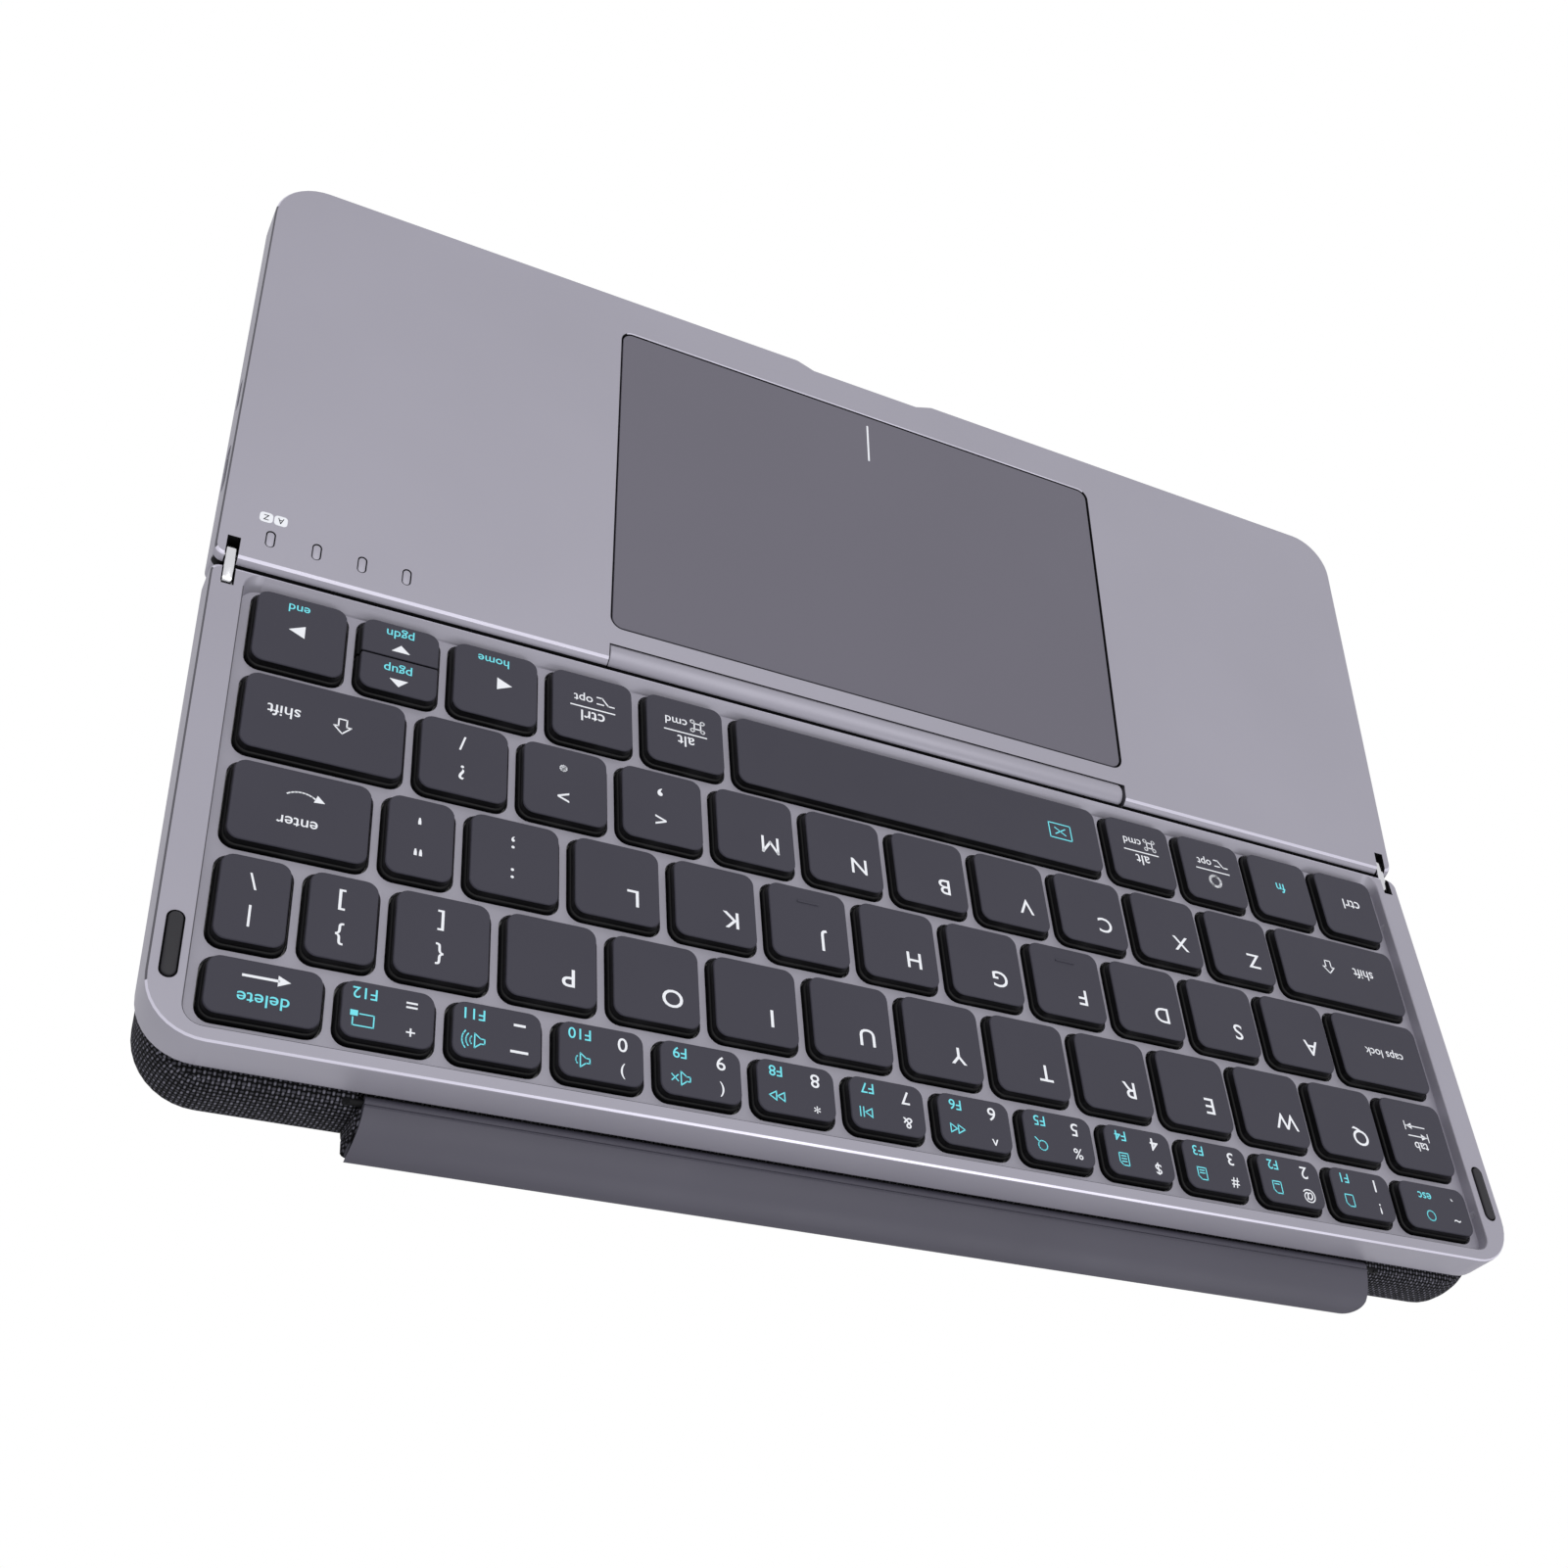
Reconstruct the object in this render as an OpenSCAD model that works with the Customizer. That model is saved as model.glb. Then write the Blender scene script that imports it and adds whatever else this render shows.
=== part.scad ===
// Folding keyboard: a touchpad half and a keys half joined by a double-pivot link hinge, with a padded
// fabric cover and a stand flap under the keys half. Millimetres, +Z up, the table at z = 0, the user
// on the -Y side. The touchpad half lies flat. The keys half is drawn flat about its own pivot and then
// tilted, so every height in its modules is counted from that pivot.

/* [Keys] */
// Pitch of the letter keys, across and back
key_pitch = 17; // [16:0.1:19]
// Gap between the top faces of two keys
key_gap = 2.85; // [2.6:0.05:3.2]
// Width of every row, in key pitches
row_units = 13.5; // [13.5:0.1:14]
// Depth of a number-row key's top face
number_key_d = 8.9; // [8.6:0.1:11]
// Height of a keycap
cap_h = 2.8; // [2.6:0.1:3]
// Roof of a keycap over its hollow
cap_roof = 0.9; // [0.7:0.1:1]
// Flare of a keycap's skirt past its top face
cap_flare = 0.55; // [0.4:0.05:0.6]
// Corner radius of a key's top face
cap_r = 1.9; // [1.2:0.1:2.2]
// Travel of a key
key_travel = 1.2; // [1:0.1:1.3]
// Drop of the key tops below the rim
key_drop = 0.3; // [0.2:0.05:0.5]
// Gap between a keycap's skirt and the deck around it
key_clear = 0.3; // [0.2:0.05:0.35]
// Gap between the up and down arrow keys
arrow_gap = 0.4; // [0.3:0.05:0.6]

/* [Case] */
// Rim beside the key well
side_rim = 5.4; // [5.2:0.1:7]
// Rim behind the key well
rear_rim = 2.3; // [2:0.1:4]
// Margin between the key field and the well's wall
well_margin = 2.5; // [2.2:0.05:3]
// Depth of the key well
well_depth = 2.2; // [1.8:0.1:2.3]
// Corner radius of the key well
well_r = 3; // [2:0.1:4]
// Thickness of the deck around the keys
deck_t = 0.8; // [0.6:0.1:0.9]
// Corner radius of the free edges, in plan
corner_r = 9; // [6:0.5:10]
// Corner radius beside the hinge, in plan
hinge_corner_r = 1.6; // [1:0.1:2]
// Rounding of the free edges, in profile
edge_r = 1; // [0.6:0.1:1.4]
// Wall of the case shells
wall = 1.2; // [1:0.1:1.3]
// Depth of the touchpad half from its pivot to its free edge
touch_d = 85; // [84:0.1:95]
// Thickness of the touchpad half
touch_t = 7.4; // [7:0.1:8]
// Thickness of the keys half
keys_t = 7.4; // [7.3:0.1:9]
// Width of the finger notch in the free edge
notch_w = 34; // [24:1:50]
// Depth of the finger notch
notch_d = 1.6; // [1:0.1:2]
// Gap between a cover plate and the shell around it
shell_clear = 0.1; // [0.05:0.05:0.2]

/* [Hinge] */
// Opening left before the two halves are level, in degrees
tilt = 6.48; // [4:0.02:8]
// Distance between the two pivots of a link
link_l = 5.8; // [5.7:0.05:6.4]
// Depth of the pivots below the top faces
pivot_depth = 2.5; // [2.4:0.05:2.6]
// Radius of the rounded hinge edges about their pivots
hinge_edge_r = 2.75; // [2.6:0.05:2.8]
// Radius of a link's ends
link_r = 1.3; // [1.2:0.1:1.5]
// Thickness of a link
link_t = 1.4; // [1.2:0.1:1.6]
// Distance from a case side to the middle of its link
link_inset = 2.75; // [2.7:0.05:3]
// Gap between a link and its slot
link_clear = 0.25; // [0.2:0.05:0.3]
// Radius of a hinge pin
pin_r = 0.6; // [0.5:0.05:0.7]
// Length of a hinge pin
pin_l = 4.6; // [4.4:0.1:4.8]
// Radial running clearance of a pin
pin_clear = 0.05; // [0.02:0.01:0.08]
// Length of the cable barrel in the middle of the hinge
barrel_l = 107.8; // [90:0.2:112]
// Radius of the cable barrel
barrel_r = 2.7; // [2.5:0.05:2.7]
// Wall of the cable barrel
barrel_wall = 0.7; // [0.5:0.05:0.8]
// Gap between the cable barrel and its notch
barrel_clear = 0.15; // [0.1:0.05:0.2]

/* [Touchpad] */
// Width of the touchpad plate
pad_w = 107.4; // [90:0.2:112]
// Depth of the touchpad plate
pad_d = 70.2; // [60:0.2:72]
// Distance from the pivot to the touchpad plate
pad_from_pivot = 5.6; // [5.4:0.1:7]
// Corner radius of the touchpad plate
pad_r = 2; // [1:0.1:3]
// Thickness of the touchpad plate
pad_t = 0.9; // [0.7:0.1:1.1]
// Drop of the touchpad plate below the case top
pad_drop = 0.15; // [0.1:0.05:0.2]
// Gap around the touchpad plate
pad_clear = 0.3; // [0.2:0.05:0.5]
// Travel of the touchpad when it clicks
pad_travel = 0.4; // [0.3:0.05:0.5]
// Thickness of the sensor board under the plate
sensor_t = 0.8; // [0.6:0.1:1]
// Width of the shelf that stops the touchpad
pad_shelf = 1.5; // [1.2:0.1:2]

/* [Side fittings] */
// Distance from the pivot to the middle of the charging socket
socket_from_pivot = 18.2; // [15:0.2:24]
// Width of the charging socket's shell
socket_w = 9; // [8.9:0.1:9.2]
// Height of the charging socket's shell
socket_h = 3.2; // [3.1:0.1:3.3]
// Depth of the charging socket
socket_d = 7.4; // [7:0.1:8]
// Distance from the pivot to the middle of the power switch
switch_from_pivot = 34.5; // [32:0.5:50]
// Length of the power switch's window
switch_w = 6; // [5:0.1:7]
// Height of the power switch's window
switch_h = 2; // [1.6:0.1:2.2]
// Travel of the power switch each way
switch_travel = 1; // [0.8:0.1:1.2]
// Gap around the power switch's knob
switch_clear = 0.2; // [0.1:0.05:0.3]
// Pitch of the indicator windows
window_pitch = 7.53; // [6:0.01:9]
// Number of indicator windows
window_count = 4; // [3:1:5]
// Distance from a case side to the first indicator window
window_inset = 8.3; // [8:0.1:12]
// Distance from the pivot to the middle of the indicator windows
window_from_pivot = 3.55; // [3.4:0.05:3.6]
// Width of an indicator window
window_w = 1.6; // [1.2:0.1:2]
// Length of an indicator window
window_l = 3.3; // [2.4:0.1:3.4]

/* [Cover and flap] */
// Distance from the pivot to the cover's front edge
cover_from_pivot = 11; // [10:0.5:40]
// Bulge of the cover behind the keys half
cover_bulge = 2.1; // [1.5:0.1:4]
// Inset of the cover from the sides of the keys half
cover_inset = 1.5; // [0.4:0.1:2]
// Radius of the cover's rounded rear edge, in profile
cover_edge_r = 5; // [4.6:0.1:5.2]
// Gap between the keys half and the fabric
cover_gap = 0.3; // [0.2:0.05:0.4]
// Width of the stand flap
flap_w = 180.7; // [150:0.1:190]
// Shift of the stand flap from the middle, towards the user's right
flap_x = -1.85; // [-3:0.05:3]
// Reach of the stand flap behind its rod
flap_reach = 7.7; // [6:0.1:9]
// Fall of the stand flap from its rod to its nose
flap_fall = 3.7; // [3:0.1:4.5]
// Run of the flap's foot in front of its nose
flap_foot = 4.4; // [3:0.1:5]
// Thickness of the stand flap
flap_t = 1.2; // [1:0.1:1.4]
// Corner radius of the stand flap's nose
flap_r = 4; // [1:0.5:6]
// Radius of the stand flap's rod
rod_r = 0.6; // [0.5:0.05:0.7]

/* [Inside] */
// Radius of a magnet
magnet_r = 2; // [1.5:0.1:2.2]
// Height of a magnet
magnet_h = 2; // [1.5:0.1:2.5]
// Distance from the pivot to the front magnets
magnet_from_pivot = 10; // [9:0.1:11]
// Distance from the free edge of the touchpad half to the rear magnets
magnet_inset = 12.2; // [11:0.1:16]
// Height of the rubber feet
foot_h = 0.6; // [0.4:0.1:1]
// Radius of the rubber feet
foot_r = 4; // [3:0.5:6]
// Thickness of the main board
board_t = 0.6; // [0.5:0.1:0.8]
// Gap between the main board and the walls and parts beside it
board_clear = 0.5; // [0.4:0.1:1]
// Distance from an edge of the main board to the middle of its pillars
pillar_inset = 6; // [4:0.5:10]
// Width of the battery
battery_w = 46; // [30:1:50]
// Depth of the battery
battery_d = 62; // [40:1:66]
// Height of the battery
battery_h = 3; // [2:0.1:3.4]
// Thickness of the membrane sheet
membrane_t = 0.3; // [0.2:0.05:0.4]
// Thickness of the steel plate behind the keys
plate_t = 0.6; // [0.4:0.1:0.7]
// Gap between a pressed keycap and the membrane
press_gap = 0.2; // [0.1:0.05:0.3]

/* [Hidden] */
$fn = 32;
eps = 0.01;
far = 400;
field_y = 1.1;
skirt_h = 1.4;
body_flare = 0.15;
cap_wall = 0.9;
dome_r = 2;
dome_gap = 0.3;
support_w = 0.8;
support_clear = 0.7;
lip_wall = 1.85;
pad_rim_h = 0.35;
rim_pad_w = 2.5;
rim_pad_l = 10.7;
rim_pad_deep = 0.8;
flex_w = 30;
flex_t = 0.15;
knuckle_t = 0.5;
switch_body_d = 3;
rim_pad_inset = 14.4;
dome_click_r = 4;

row_depth = key_pitch - key_gap;
field_w = row_units * key_pitch - key_gap;
field_d = 4 * key_pitch + number_key_d;
well_w = field_w + 2 * well_margin;
well_front = -(hinge_edge_r - lip_wall);
well_rear = field_y + field_d + well_margin;
case_w = well_w + 2 * side_rim;
keys_d = well_rear + rear_rim;
link_x = case_w / 2 - link_inset;

touch_top = foot_h + touch_t;
pivot_z = touch_top - pivot_depth;
rim_top = pivot_depth;
keys_floor = rim_top - keys_t;
deck_top = rim_top - well_depth;
cap_top = rim_top - key_drop;
membrane_top = cap_top - cap_h - key_travel - press_gap;
support_h = cap_top - cap_roof - key_travel - membrane_top - dome_gap;

keys_pivot = [link_l * cos(tilt / 2), link_l * sin(tilt / 2)];
rod_y = keys_d + 0.6;
rod_z = keys_floor - rod_r - knuckle_t - 0.1;
nose_y = rod_y + flap_reach;
nose_z = rod_z - flap_fall;
foot_y = nose_y - flap_foot;
foot_z = -(pivot_z + keys_pivot[1] + foot_y * sin(tilt)) / cos(tilt) + 0.1;
rear_reach = keys_pivot[0] + nose_y * cos(tilt) - nose_z * sin(tilt);
pivot_y = (touch_d - rear_reach) / 2;

battery_x = -(case_w / 2 + pad_w / 2) / 2;
board_x0 = pad_w / 2 + pad_clear + wall + board_clear;
board_x1 = case_w / 2 - wall - board_clear;
board_y0 = hinge_edge_r + corner_r;
board_y1 = pad_from_pivot + pad_d - pad_shelf;
cavity_floor = foot_h + wall;
cavity_top = touch_top - wall;
socket_z = foot_h + touch_t / 2;
board_z = socket_z - socket_h / 2 - board_t;
pad_top = touch_top - pad_drop;
sensor_z = pad_top - pad_t - sensor_t;

// Each row from the user's left: the node that a key belongs to, and its width in key pitches.
NUMBER_U = 0.944;
ROWS = [
    [["key_ctrl_left", 1], ["key_fn", 1], ["key_system", 1], ["key_alt_left", 1], ["key_space", 4.6],
     ["key_alt_right", 1], ["key_ctrl_right", 1], ["key_arrow_left", 1], ["key_arrow_up", 0.9],
     ["key_arrow_right", 1]],
    [["key_shift_left", 1.88], ["keys_1qaz", 1], ["keys_2wsx", 1], ["keys_3edc", 1], ["keys_4rfv", 1],
     ["keys_5tgb", 1], ["keys_6yhn", 1], ["keys_7ujm", 1], ["keys_8ik_comma", 1], ["keys_9ol_dot", 1],
     ["keys_0p_slash", 1], ["key_shift_right", 1.62]],
    [["key_caps_lock", 1.365], ["keys_1qaz", 1], ["keys_2wsx", 1], ["keys_3edc", 1], ["keys_4rfv", 1],
     ["keys_5tgb", 1], ["keys_6yhn", 1], ["keys_7ujm", 1], ["keys_8ik_comma", 1], ["keys_9ol_dot", 1],
     ["keys_0p_slash", 1], ["keys_brackets", 0.765], ["key_enter", 1.37]],
    [["key_tab", 1], ["keys_1qaz", 1], ["keys_2wsx", 1], ["keys_3edc", 1], ["keys_4rfv", 1],
     ["keys_5tgb", 1], ["keys_6yhn", 1], ["keys_7ujm", 1], ["keys_8ik_comma", 1], ["keys_9ol_dot", 1],
     ["keys_0p_slash", 1], ["keys_brackets", 1], ["keys_brackets", 0.75], ["key_backslash", 0.75]],
    [["key_esc", 1.072], ["keys_1qaz", NUMBER_U], ["keys_2wsx", NUMBER_U], ["keys_3edc", NUMBER_U],
     ["keys_4rfv", NUMBER_U], ["keys_5tgb", NUMBER_U], ["keys_6yhn", NUMBER_U], ["keys_7ujm", NUMBER_U],
     ["keys_8ik_comma", NUMBER_U], ["keys_9ol_dot", NUMBER_U], ["keys_0p_slash", NUMBER_U],
     ["keys_brackets", NUMBER_U], ["keys_brackets", NUMBER_U], ["key_delete", 1.1]],
];
// Key widths are stretched alike when a row is made wider than its keys.
BUILT_UNITS = 13.5;
function unit() = (field_w + key_gap) / BUILT_UNITS;
function units_before(row, i) = i == 0 ? 0 : ROWS[row][i - 1][1] + units_before(row, i - 1);
// Left, right, front and rear edge of a key's top face.
function key_x0(row, i) = -field_w / 2 + units_before(row, i) * unit();
function key_x1(row, i) = key_x0(row, i) + ROWS[row][i][1] * unit() - key_gap;
function key_y0(row) = field_y + row * key_pitch;
function key_y1(row) = key_y0(row) + (row == 4 ? number_key_d : row_depth);

SILVER = [0.62, 0.61, 0.66];
DARK_SILVER = [0.36, 0.35, 0.4];
KEY_BLACK = [0.2, 0.2, 0.23];
FABRIC = [0.14, 0.14, 0.16];
CHROME = [0.85, 0.85, 0.87];
BOARD_GREEN = [0.1, 0.35, 0.2];

// ---- shared shapes ----

// A rectangle from corner to corner with four round corners.
module rounded(x0, x1, y0, y1, r) {
    translate([x0 + r, y0]) square([x1 - x0 - 2 * r, y1 - y0]);
    translate([x0, y0 + r]) square([x1 - x0, y1 - y0 - 2 * r]);
    for (x = [x0 + r, x1 - r], y = [y0 + r, y1 - r])
        translate([x, y]) circle(r);
}

// A case half in plan: the hinge edge at y = front, the free edge at y = rear.
module case_plan(front, rear) {
    rounded(-case_w / 2, case_w / 2, front + corner_r, rear, corner_r);
    rounded(-case_w / 2, case_w / 2, front, rear - 2 * corner_r, hinge_corner_r);
}

// A case half seen from its side, as y and z about its pivot, with the free edge at y = rear.
module case_profile(rear, top, floor) {
    intersection() {
        union() {
            circle(hinge_edge_r, $fn = 64);
            translate([0, floor]) square([rear, top - floor]);
            translate([-hinge_edge_r, floor]) square([hinge_edge_r, -floor]);
        }
        translate([-hinge_edge_r, floor]) square([hinge_edge_r + rear - edge_r, top - floor]);
    }
    rounded(rear - 4 * edge_r, rear, floor, top, edge_r);
}

// Extrudes a side profile, drawn as y and z, along X over a width of w about x.
module along_x(w, x = 0) {
    translate([x - w / 2, 0, 0]) rotate([90, 0, 90]) linear_extrude(w) children();
}

// Places what is drawn about the touchpad half's pivot, with +Y away from the hinge.
module on_touchpad_half() {
    translate([0, pivot_y, pivot_z]) mirror([0, 1, 0]) children();
}

// Places what is drawn about the keys half's pivot, with +Y away from the hinge.
module on_keys_half() {
    translate([0, pivot_y + keys_pivot[0], pivot_z + keys_pivot[1]]) rotate([tilt, 0, 0]) children();
}

// The slot of both links in a case half, open to the hinge edge and to the top.
module link_slots() {
    slot_r = link_r + link_clear;
    for (side = [-1, 1])
        translate([side * link_x - link_t / 2 - link_clear, -far, -slot_r])
            cube([link_t + 2 * link_clear, far + slot_r, far]);
}

// The blind holes of both hinge pins, from the inner side towards the case side.
module pins(r) {
    for (side = [-1, 1])
        along_x(pin_l, side * (case_w / 2 - 0.2 - pin_l / 2)) circle(r);
}

module link(side) {
    color(CHROME) translate([0, pivot_y, pivot_z]) rotate([tilt / 2, 0, 0])
        along_x(link_t, side * link_x) difference() {
            union() {
                for (y = [0, link_l]) translate([y, 0]) circle(link_r);
                translate([0, -link_r]) square([link_l, 2 * link_r]);
            }
            for (y = [0, link_l]) translate([y, 0]) circle(pin_r + pin_clear);
        }
}

// ---- touchpad half ----

module touchpad_case() {
    low = foot_h - pivot_z;
    high = touch_top - pivot_z;
    inner_front = hinge_edge_r + wall;
    color(SILVER) on_touchpad_half() difference() {
        intersection() {
            translate([0, 0, low]) linear_extrude(high - low) case_plan(-hinge_edge_r, touch_d);
            along_x(case_w) case_profile(touch_d, high, low);
        }
        // hollow under the top wall
        translate([0, 0, low - eps]) linear_extrude(high - low - wall + eps)
            rounded(-case_w / 2 + wall, case_w / 2 - wall, inner_front, touch_d - notch_d - wall,
                    corner_r - wall);
        // opening of the touchpad, over the shelf that the case bottom carries
        translate([0, 0, low]) linear_extrude(far)
            rounded(-pad_w / 2 - pad_clear, pad_w / 2 + pad_clear, pad_from_pivot - pad_clear,
                    pad_from_pivot + pad_d + pad_clear, pad_r + pad_clear);
        // finger notch
        translate([0, 0, low - eps]) linear_extrude(far)
            polygon([[-notch_w / 2, touch_d + eps], [-notch_w / 2 + 5, touch_d - notch_d],
                     [notch_w / 2 - 5, touch_d - notch_d], [notch_w / 2, touch_d + eps]]);
        // notch of the cable barrel, open to the hinge edge
        along_x(barrel_l + 2 * barrel_clear) {
            circle(barrel_r + barrel_clear, $fn = 64);
            translate([-far, -far]) square([far, 2 * far]);
        }
        link_slots();
        pins(pin_r + 0.01);
        indicator_holes(0);
        side_openings();
    }
}

module indicator_holes(shrink) {
    for (i = [0 : window_count - 1])
        translate([case_w / 2 - window_inset - i * window_pitch, window_from_pivot, 0])
            linear_extrude(far)
                rounded(-window_w / 2 + shrink, window_w / 2 - shrink, -window_l / 2 + shrink,
                        window_l / 2 - shrink, window_w / 2 - shrink - eps);
}

// The socket and switch openings through the case's side wall.
module side_openings() {
    z = socket_z - pivot_z;
    translate([case_w / 2 - wall - 1, socket_from_pivot, z]) rotate([90, 0, 90]) linear_extrude(far)
        rounded(-socket_w / 2 - shell_clear, socket_w / 2 + shell_clear, -socket_h / 2 - shell_clear,
                socket_h / 2 + shell_clear, socket_h / 2);
    translate([case_w / 2 - wall - 1, switch_from_pivot, z]) rotate([90, 0, 90]) linear_extrude(far)
        rounded(-switch_w / 2, switch_w / 2, -switch_h / 2, switch_h / 2, 0.4);
}

module touchpad_case_bottom() {
    inset = wall + shell_clear;
    front = hinge_edge_r + inset;
    rear = touch_d - notch_d - inset;
    shelf_top = sensor_z - pad_travel - 0.1;
    color(SILVER) on_touchpad_half() translate([0, 0, -pivot_z]) {
        translate([0, 0, foot_h]) linear_extrude(wall)
            rounded(-case_w / 2 + inset, case_w / 2 - inset, front, rear, corner_r - wall);
        // shelf that stops the touchpad, on three sides
        translate([0, 0, cavity_floor - eps]) linear_extrude(shelf_top - cavity_floor + eps)
            difference() {
                rounded(-pad_w / 2, pad_w / 2, pad_from_pivot, pad_from_pivot + pad_d, pad_r);
                rounded(-pad_w / 2 + pad_shelf, pad_w / 2 - pad_shelf, pad_from_pivot + pad_shelf,
                        pad_from_pivot + pad_d - pad_shelf, pad_r);
            }
        // pillars under the main board
        for (x = [board_x0 + pillar_inset, board_x1 - pillar_inset],
             y = [board_y0 + pillar_inset, board_y1 - pillar_inset])
            translate([x, y, cavity_floor - eps])
                cylinder(h = board_z - cavity_floor + eps, r = 1.5);
        // post under the click dome
        translate([0, pad_from_pivot + pad_d * 0.8, cavity_floor - eps])
            cylinder(h = sensor_z - pad_travel - 0.6 - cavity_floor + eps, r = dome_click_r);
    }
}

module touchpad_plate() {
    color(DARK_SILVER) on_touchpad_half() translate([0, 0, pad_top - pad_t - pivot_z])
        linear_extrude(pad_t)
            rounded(-pad_w / 2, pad_w / 2, pad_from_pivot, pad_from_pivot + pad_d, pad_r);
}

module sensor_board() {
    color(BOARD_GREEN) on_touchpad_half() translate([0, 0, sensor_z - pivot_z])
        linear_extrude(sensor_t)
            rounded(-pad_w / 2 + 0.5, pad_w / 2 - 0.5, pad_from_pivot + 0.5,
                    pad_from_pivot + pad_d - 0.5, pad_r);
}

module click_dome() {
    color(CHROME) on_touchpad_half()
        translate([0, pad_from_pivot + pad_d * 0.8, sensor_z - pad_travel - 0.6 - pivot_z])
            cylinder(h = 0.5, r1 = dome_click_r - 0.5, r2 = dome_click_r - 1.5);
}

module main_board() {
    color(BOARD_GREEN) on_touchpad_half() translate([0, 0, board_z - pivot_z])
        linear_extrude(board_t)
            rounded(board_x0, board_x1, board_y0, board_y1, 1);
}

module battery() {
    color([0.75, 0.75, 0.78]) on_touchpad_half() translate([battery_x, 0, cavity_floor - pivot_z])
        linear_extrude(battery_h)
            rounded(-battery_w / 2, battery_w / 2, pad_from_pivot + 4, pad_from_pivot + 4 + battery_d, 1);
}

module charging_socket() {
    color(CHROME) on_touchpad_half()
        translate([case_w / 2 - 0.2 - socket_d, socket_from_pivot, socket_z - pivot_z])
            rotate([90, 0, 90]) {
                difference() {
                    linear_extrude(socket_d) rounded(-socket_w / 2, socket_w / 2, -socket_h / 2,
                                                     socket_h / 2, socket_h / 2 - eps);
                    translate([0, 0, 1]) linear_extrude(far)
                        rounded(-socket_w / 2 + 0.35, socket_w / 2 - 0.35, -socket_h / 2 + 0.35,
                                socket_h / 2 - 0.35, socket_h / 2 - 0.35 - eps);
                }
                // contact tongue
                translate([-3.2, -0.35, 1 - eps]) cube([6.4, 0.7, socket_d - 2]);
            }
}

module power_switch_body() {
    color([0.15, 0.15, 0.16]) on_touchpad_half()
        translate([case_w / 2 - wall - 1 - switch_body_d, switch_from_pivot, 0]) difference() {
            translate([0, -switch_w / 2 - 1.5, board_z + board_t - pivot_z])
                cube([switch_body_d, switch_w + 3, socket_h]);
            translate([0.8, -switch_w / 2, socket_z - switch_h / 2 - pivot_z])
                cube([far, switch_w, switch_h]);
        }
}

module power_slider() {
    knob_w = switch_w - 2 * switch_travel - 2 * switch_clear;
    knob_h = switch_h - 2 * switch_clear;
    knob_x = case_w / 2 - wall - switch_body_d;
    color(DARK_SILVER) on_touchpad_half()
        translate([knob_x, switch_from_pivot - knob_w / 2, socket_z - knob_h / 2 - pivot_z])
            cube([case_w / 2 - knob_x - switch_clear, knob_w, knob_h]);
}

module indicator_windows() {
    color([0.75, 0.78, 0.8]) on_touchpad_half() intersection() {
        indicator_holes(0.03);
        translate([-far / 2, 0, touch_top - pivot_z - 0.05 - wall]) cube([far, far, wall]);
    }
}

module touchpad_magnets() {
    color(CHROME) on_touchpad_half()
        for (x = [-1, 1], y = [magnet_from_pivot, touch_d - magnet_inset])
            translate([x * (case_w / 2 - wall - magnet_r - 0.3), y, cavity_top - magnet_h - pivot_z])
                cylinder(h = magnet_h, r = magnet_r);
}

module rubber_feet() {
    color([0.12, 0.12, 0.13]) on_touchpad_half()
        for (x = [-1, 1], y = [14, touch_d - 14])
            translate([x * (case_w / 2 - 14), y, -pivot_z]) cylinder(h = foot_h, r = foot_r);
}

module touchpad_hinge_pins() {
    color(CHROME) on_touchpad_half() pins(pin_r);
}

module cable_barrel() {
    slit_h = 1.2;
    color(SILVER) on_touchpad_half() along_x(barrel_l) difference() {
        circle(barrel_r, $fn = 64);
        circle(barrel_r - barrel_wall, $fn = 64);
        translate([-far, -barrel_r + 0.4]) square([far, slit_h]);
    }
}

module flex_ribbon() {
    r = barrel_r - barrel_wall - 0.1;
    color([0.75, 0.45, 0.15]) on_touchpad_half() along_x(flex_w) difference() {
        circle(r, $fn = 64);
        circle(r - flex_t, $fn = 64);
        translate([-far, -far]) square([far, far]);
    }
}

module hinge_link_left() { link(-1); }

module hinge_link_right() { link(1); }

// ---- keys half ----

// Calls its children's footprint for every key: top faces grown by grow on all four sides.
module key_footprints(grow, r) {
    for (row = [0 : 4], i = [0 : len(ROWS[row]) - 1])
        rounded(key_x0(row, i) - grow, key_x1(row, i) + grow, key_y0(row) - grow, key_y1(row) + grow, r);
}

module keys_frame() {
    color(SILVER) on_keys_half() difference() {
        intersection() {
            translate([0, 0, keys_floor]) linear_extrude(keys_t) case_plan(-hinge_edge_r, keys_d);
            along_x(case_w) case_profile(keys_d, rim_top, keys_floor);
        }
        // key well
        translate([0, 0, deck_top]) linear_extrude(far)
            rounded(-well_w / 2, well_w / 2, well_front, well_rear, well_r);
        // hollow under the deck
        translate([0, 0, keys_floor - eps]) linear_extrude(deck_top - deck_t - keys_floor + eps)
            rounded(-well_w / 2, well_w / 2, well_front, well_rear, well_r);
        // openings of the keys
        translate([0, 0, keys_floor]) linear_extrude(far)
            key_footprints(cap_flare + key_clear, cap_r + cap_flare);
        link_slots();
        pins(pin_r + 0.01);
        // seats of the rim pads and of the magnets
        rim_pad_shapes(rim_top - rim_pad_deep, far);
        keys_magnet_shapes(shell_clear / 2);
    }
}

module rim_pad_shapes(z, h) {
    for (side = [-1, 1])
        translate([side * (case_w / 2 - link_inset - 0.1), field_y + field_d - rim_pad_inset, z])
            linear_extrude(h)
            rounded(-rim_pad_w / 2, rim_pad_w / 2, 0, rim_pad_l, rim_pad_w / 2 - eps);
}

module rim_pads() {
    color([0.13, 0.13, 0.14]) on_keys_half() rim_pad_shapes(rim_top - rim_pad_deep, rim_pad_deep + pad_rim_h);
}

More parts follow.
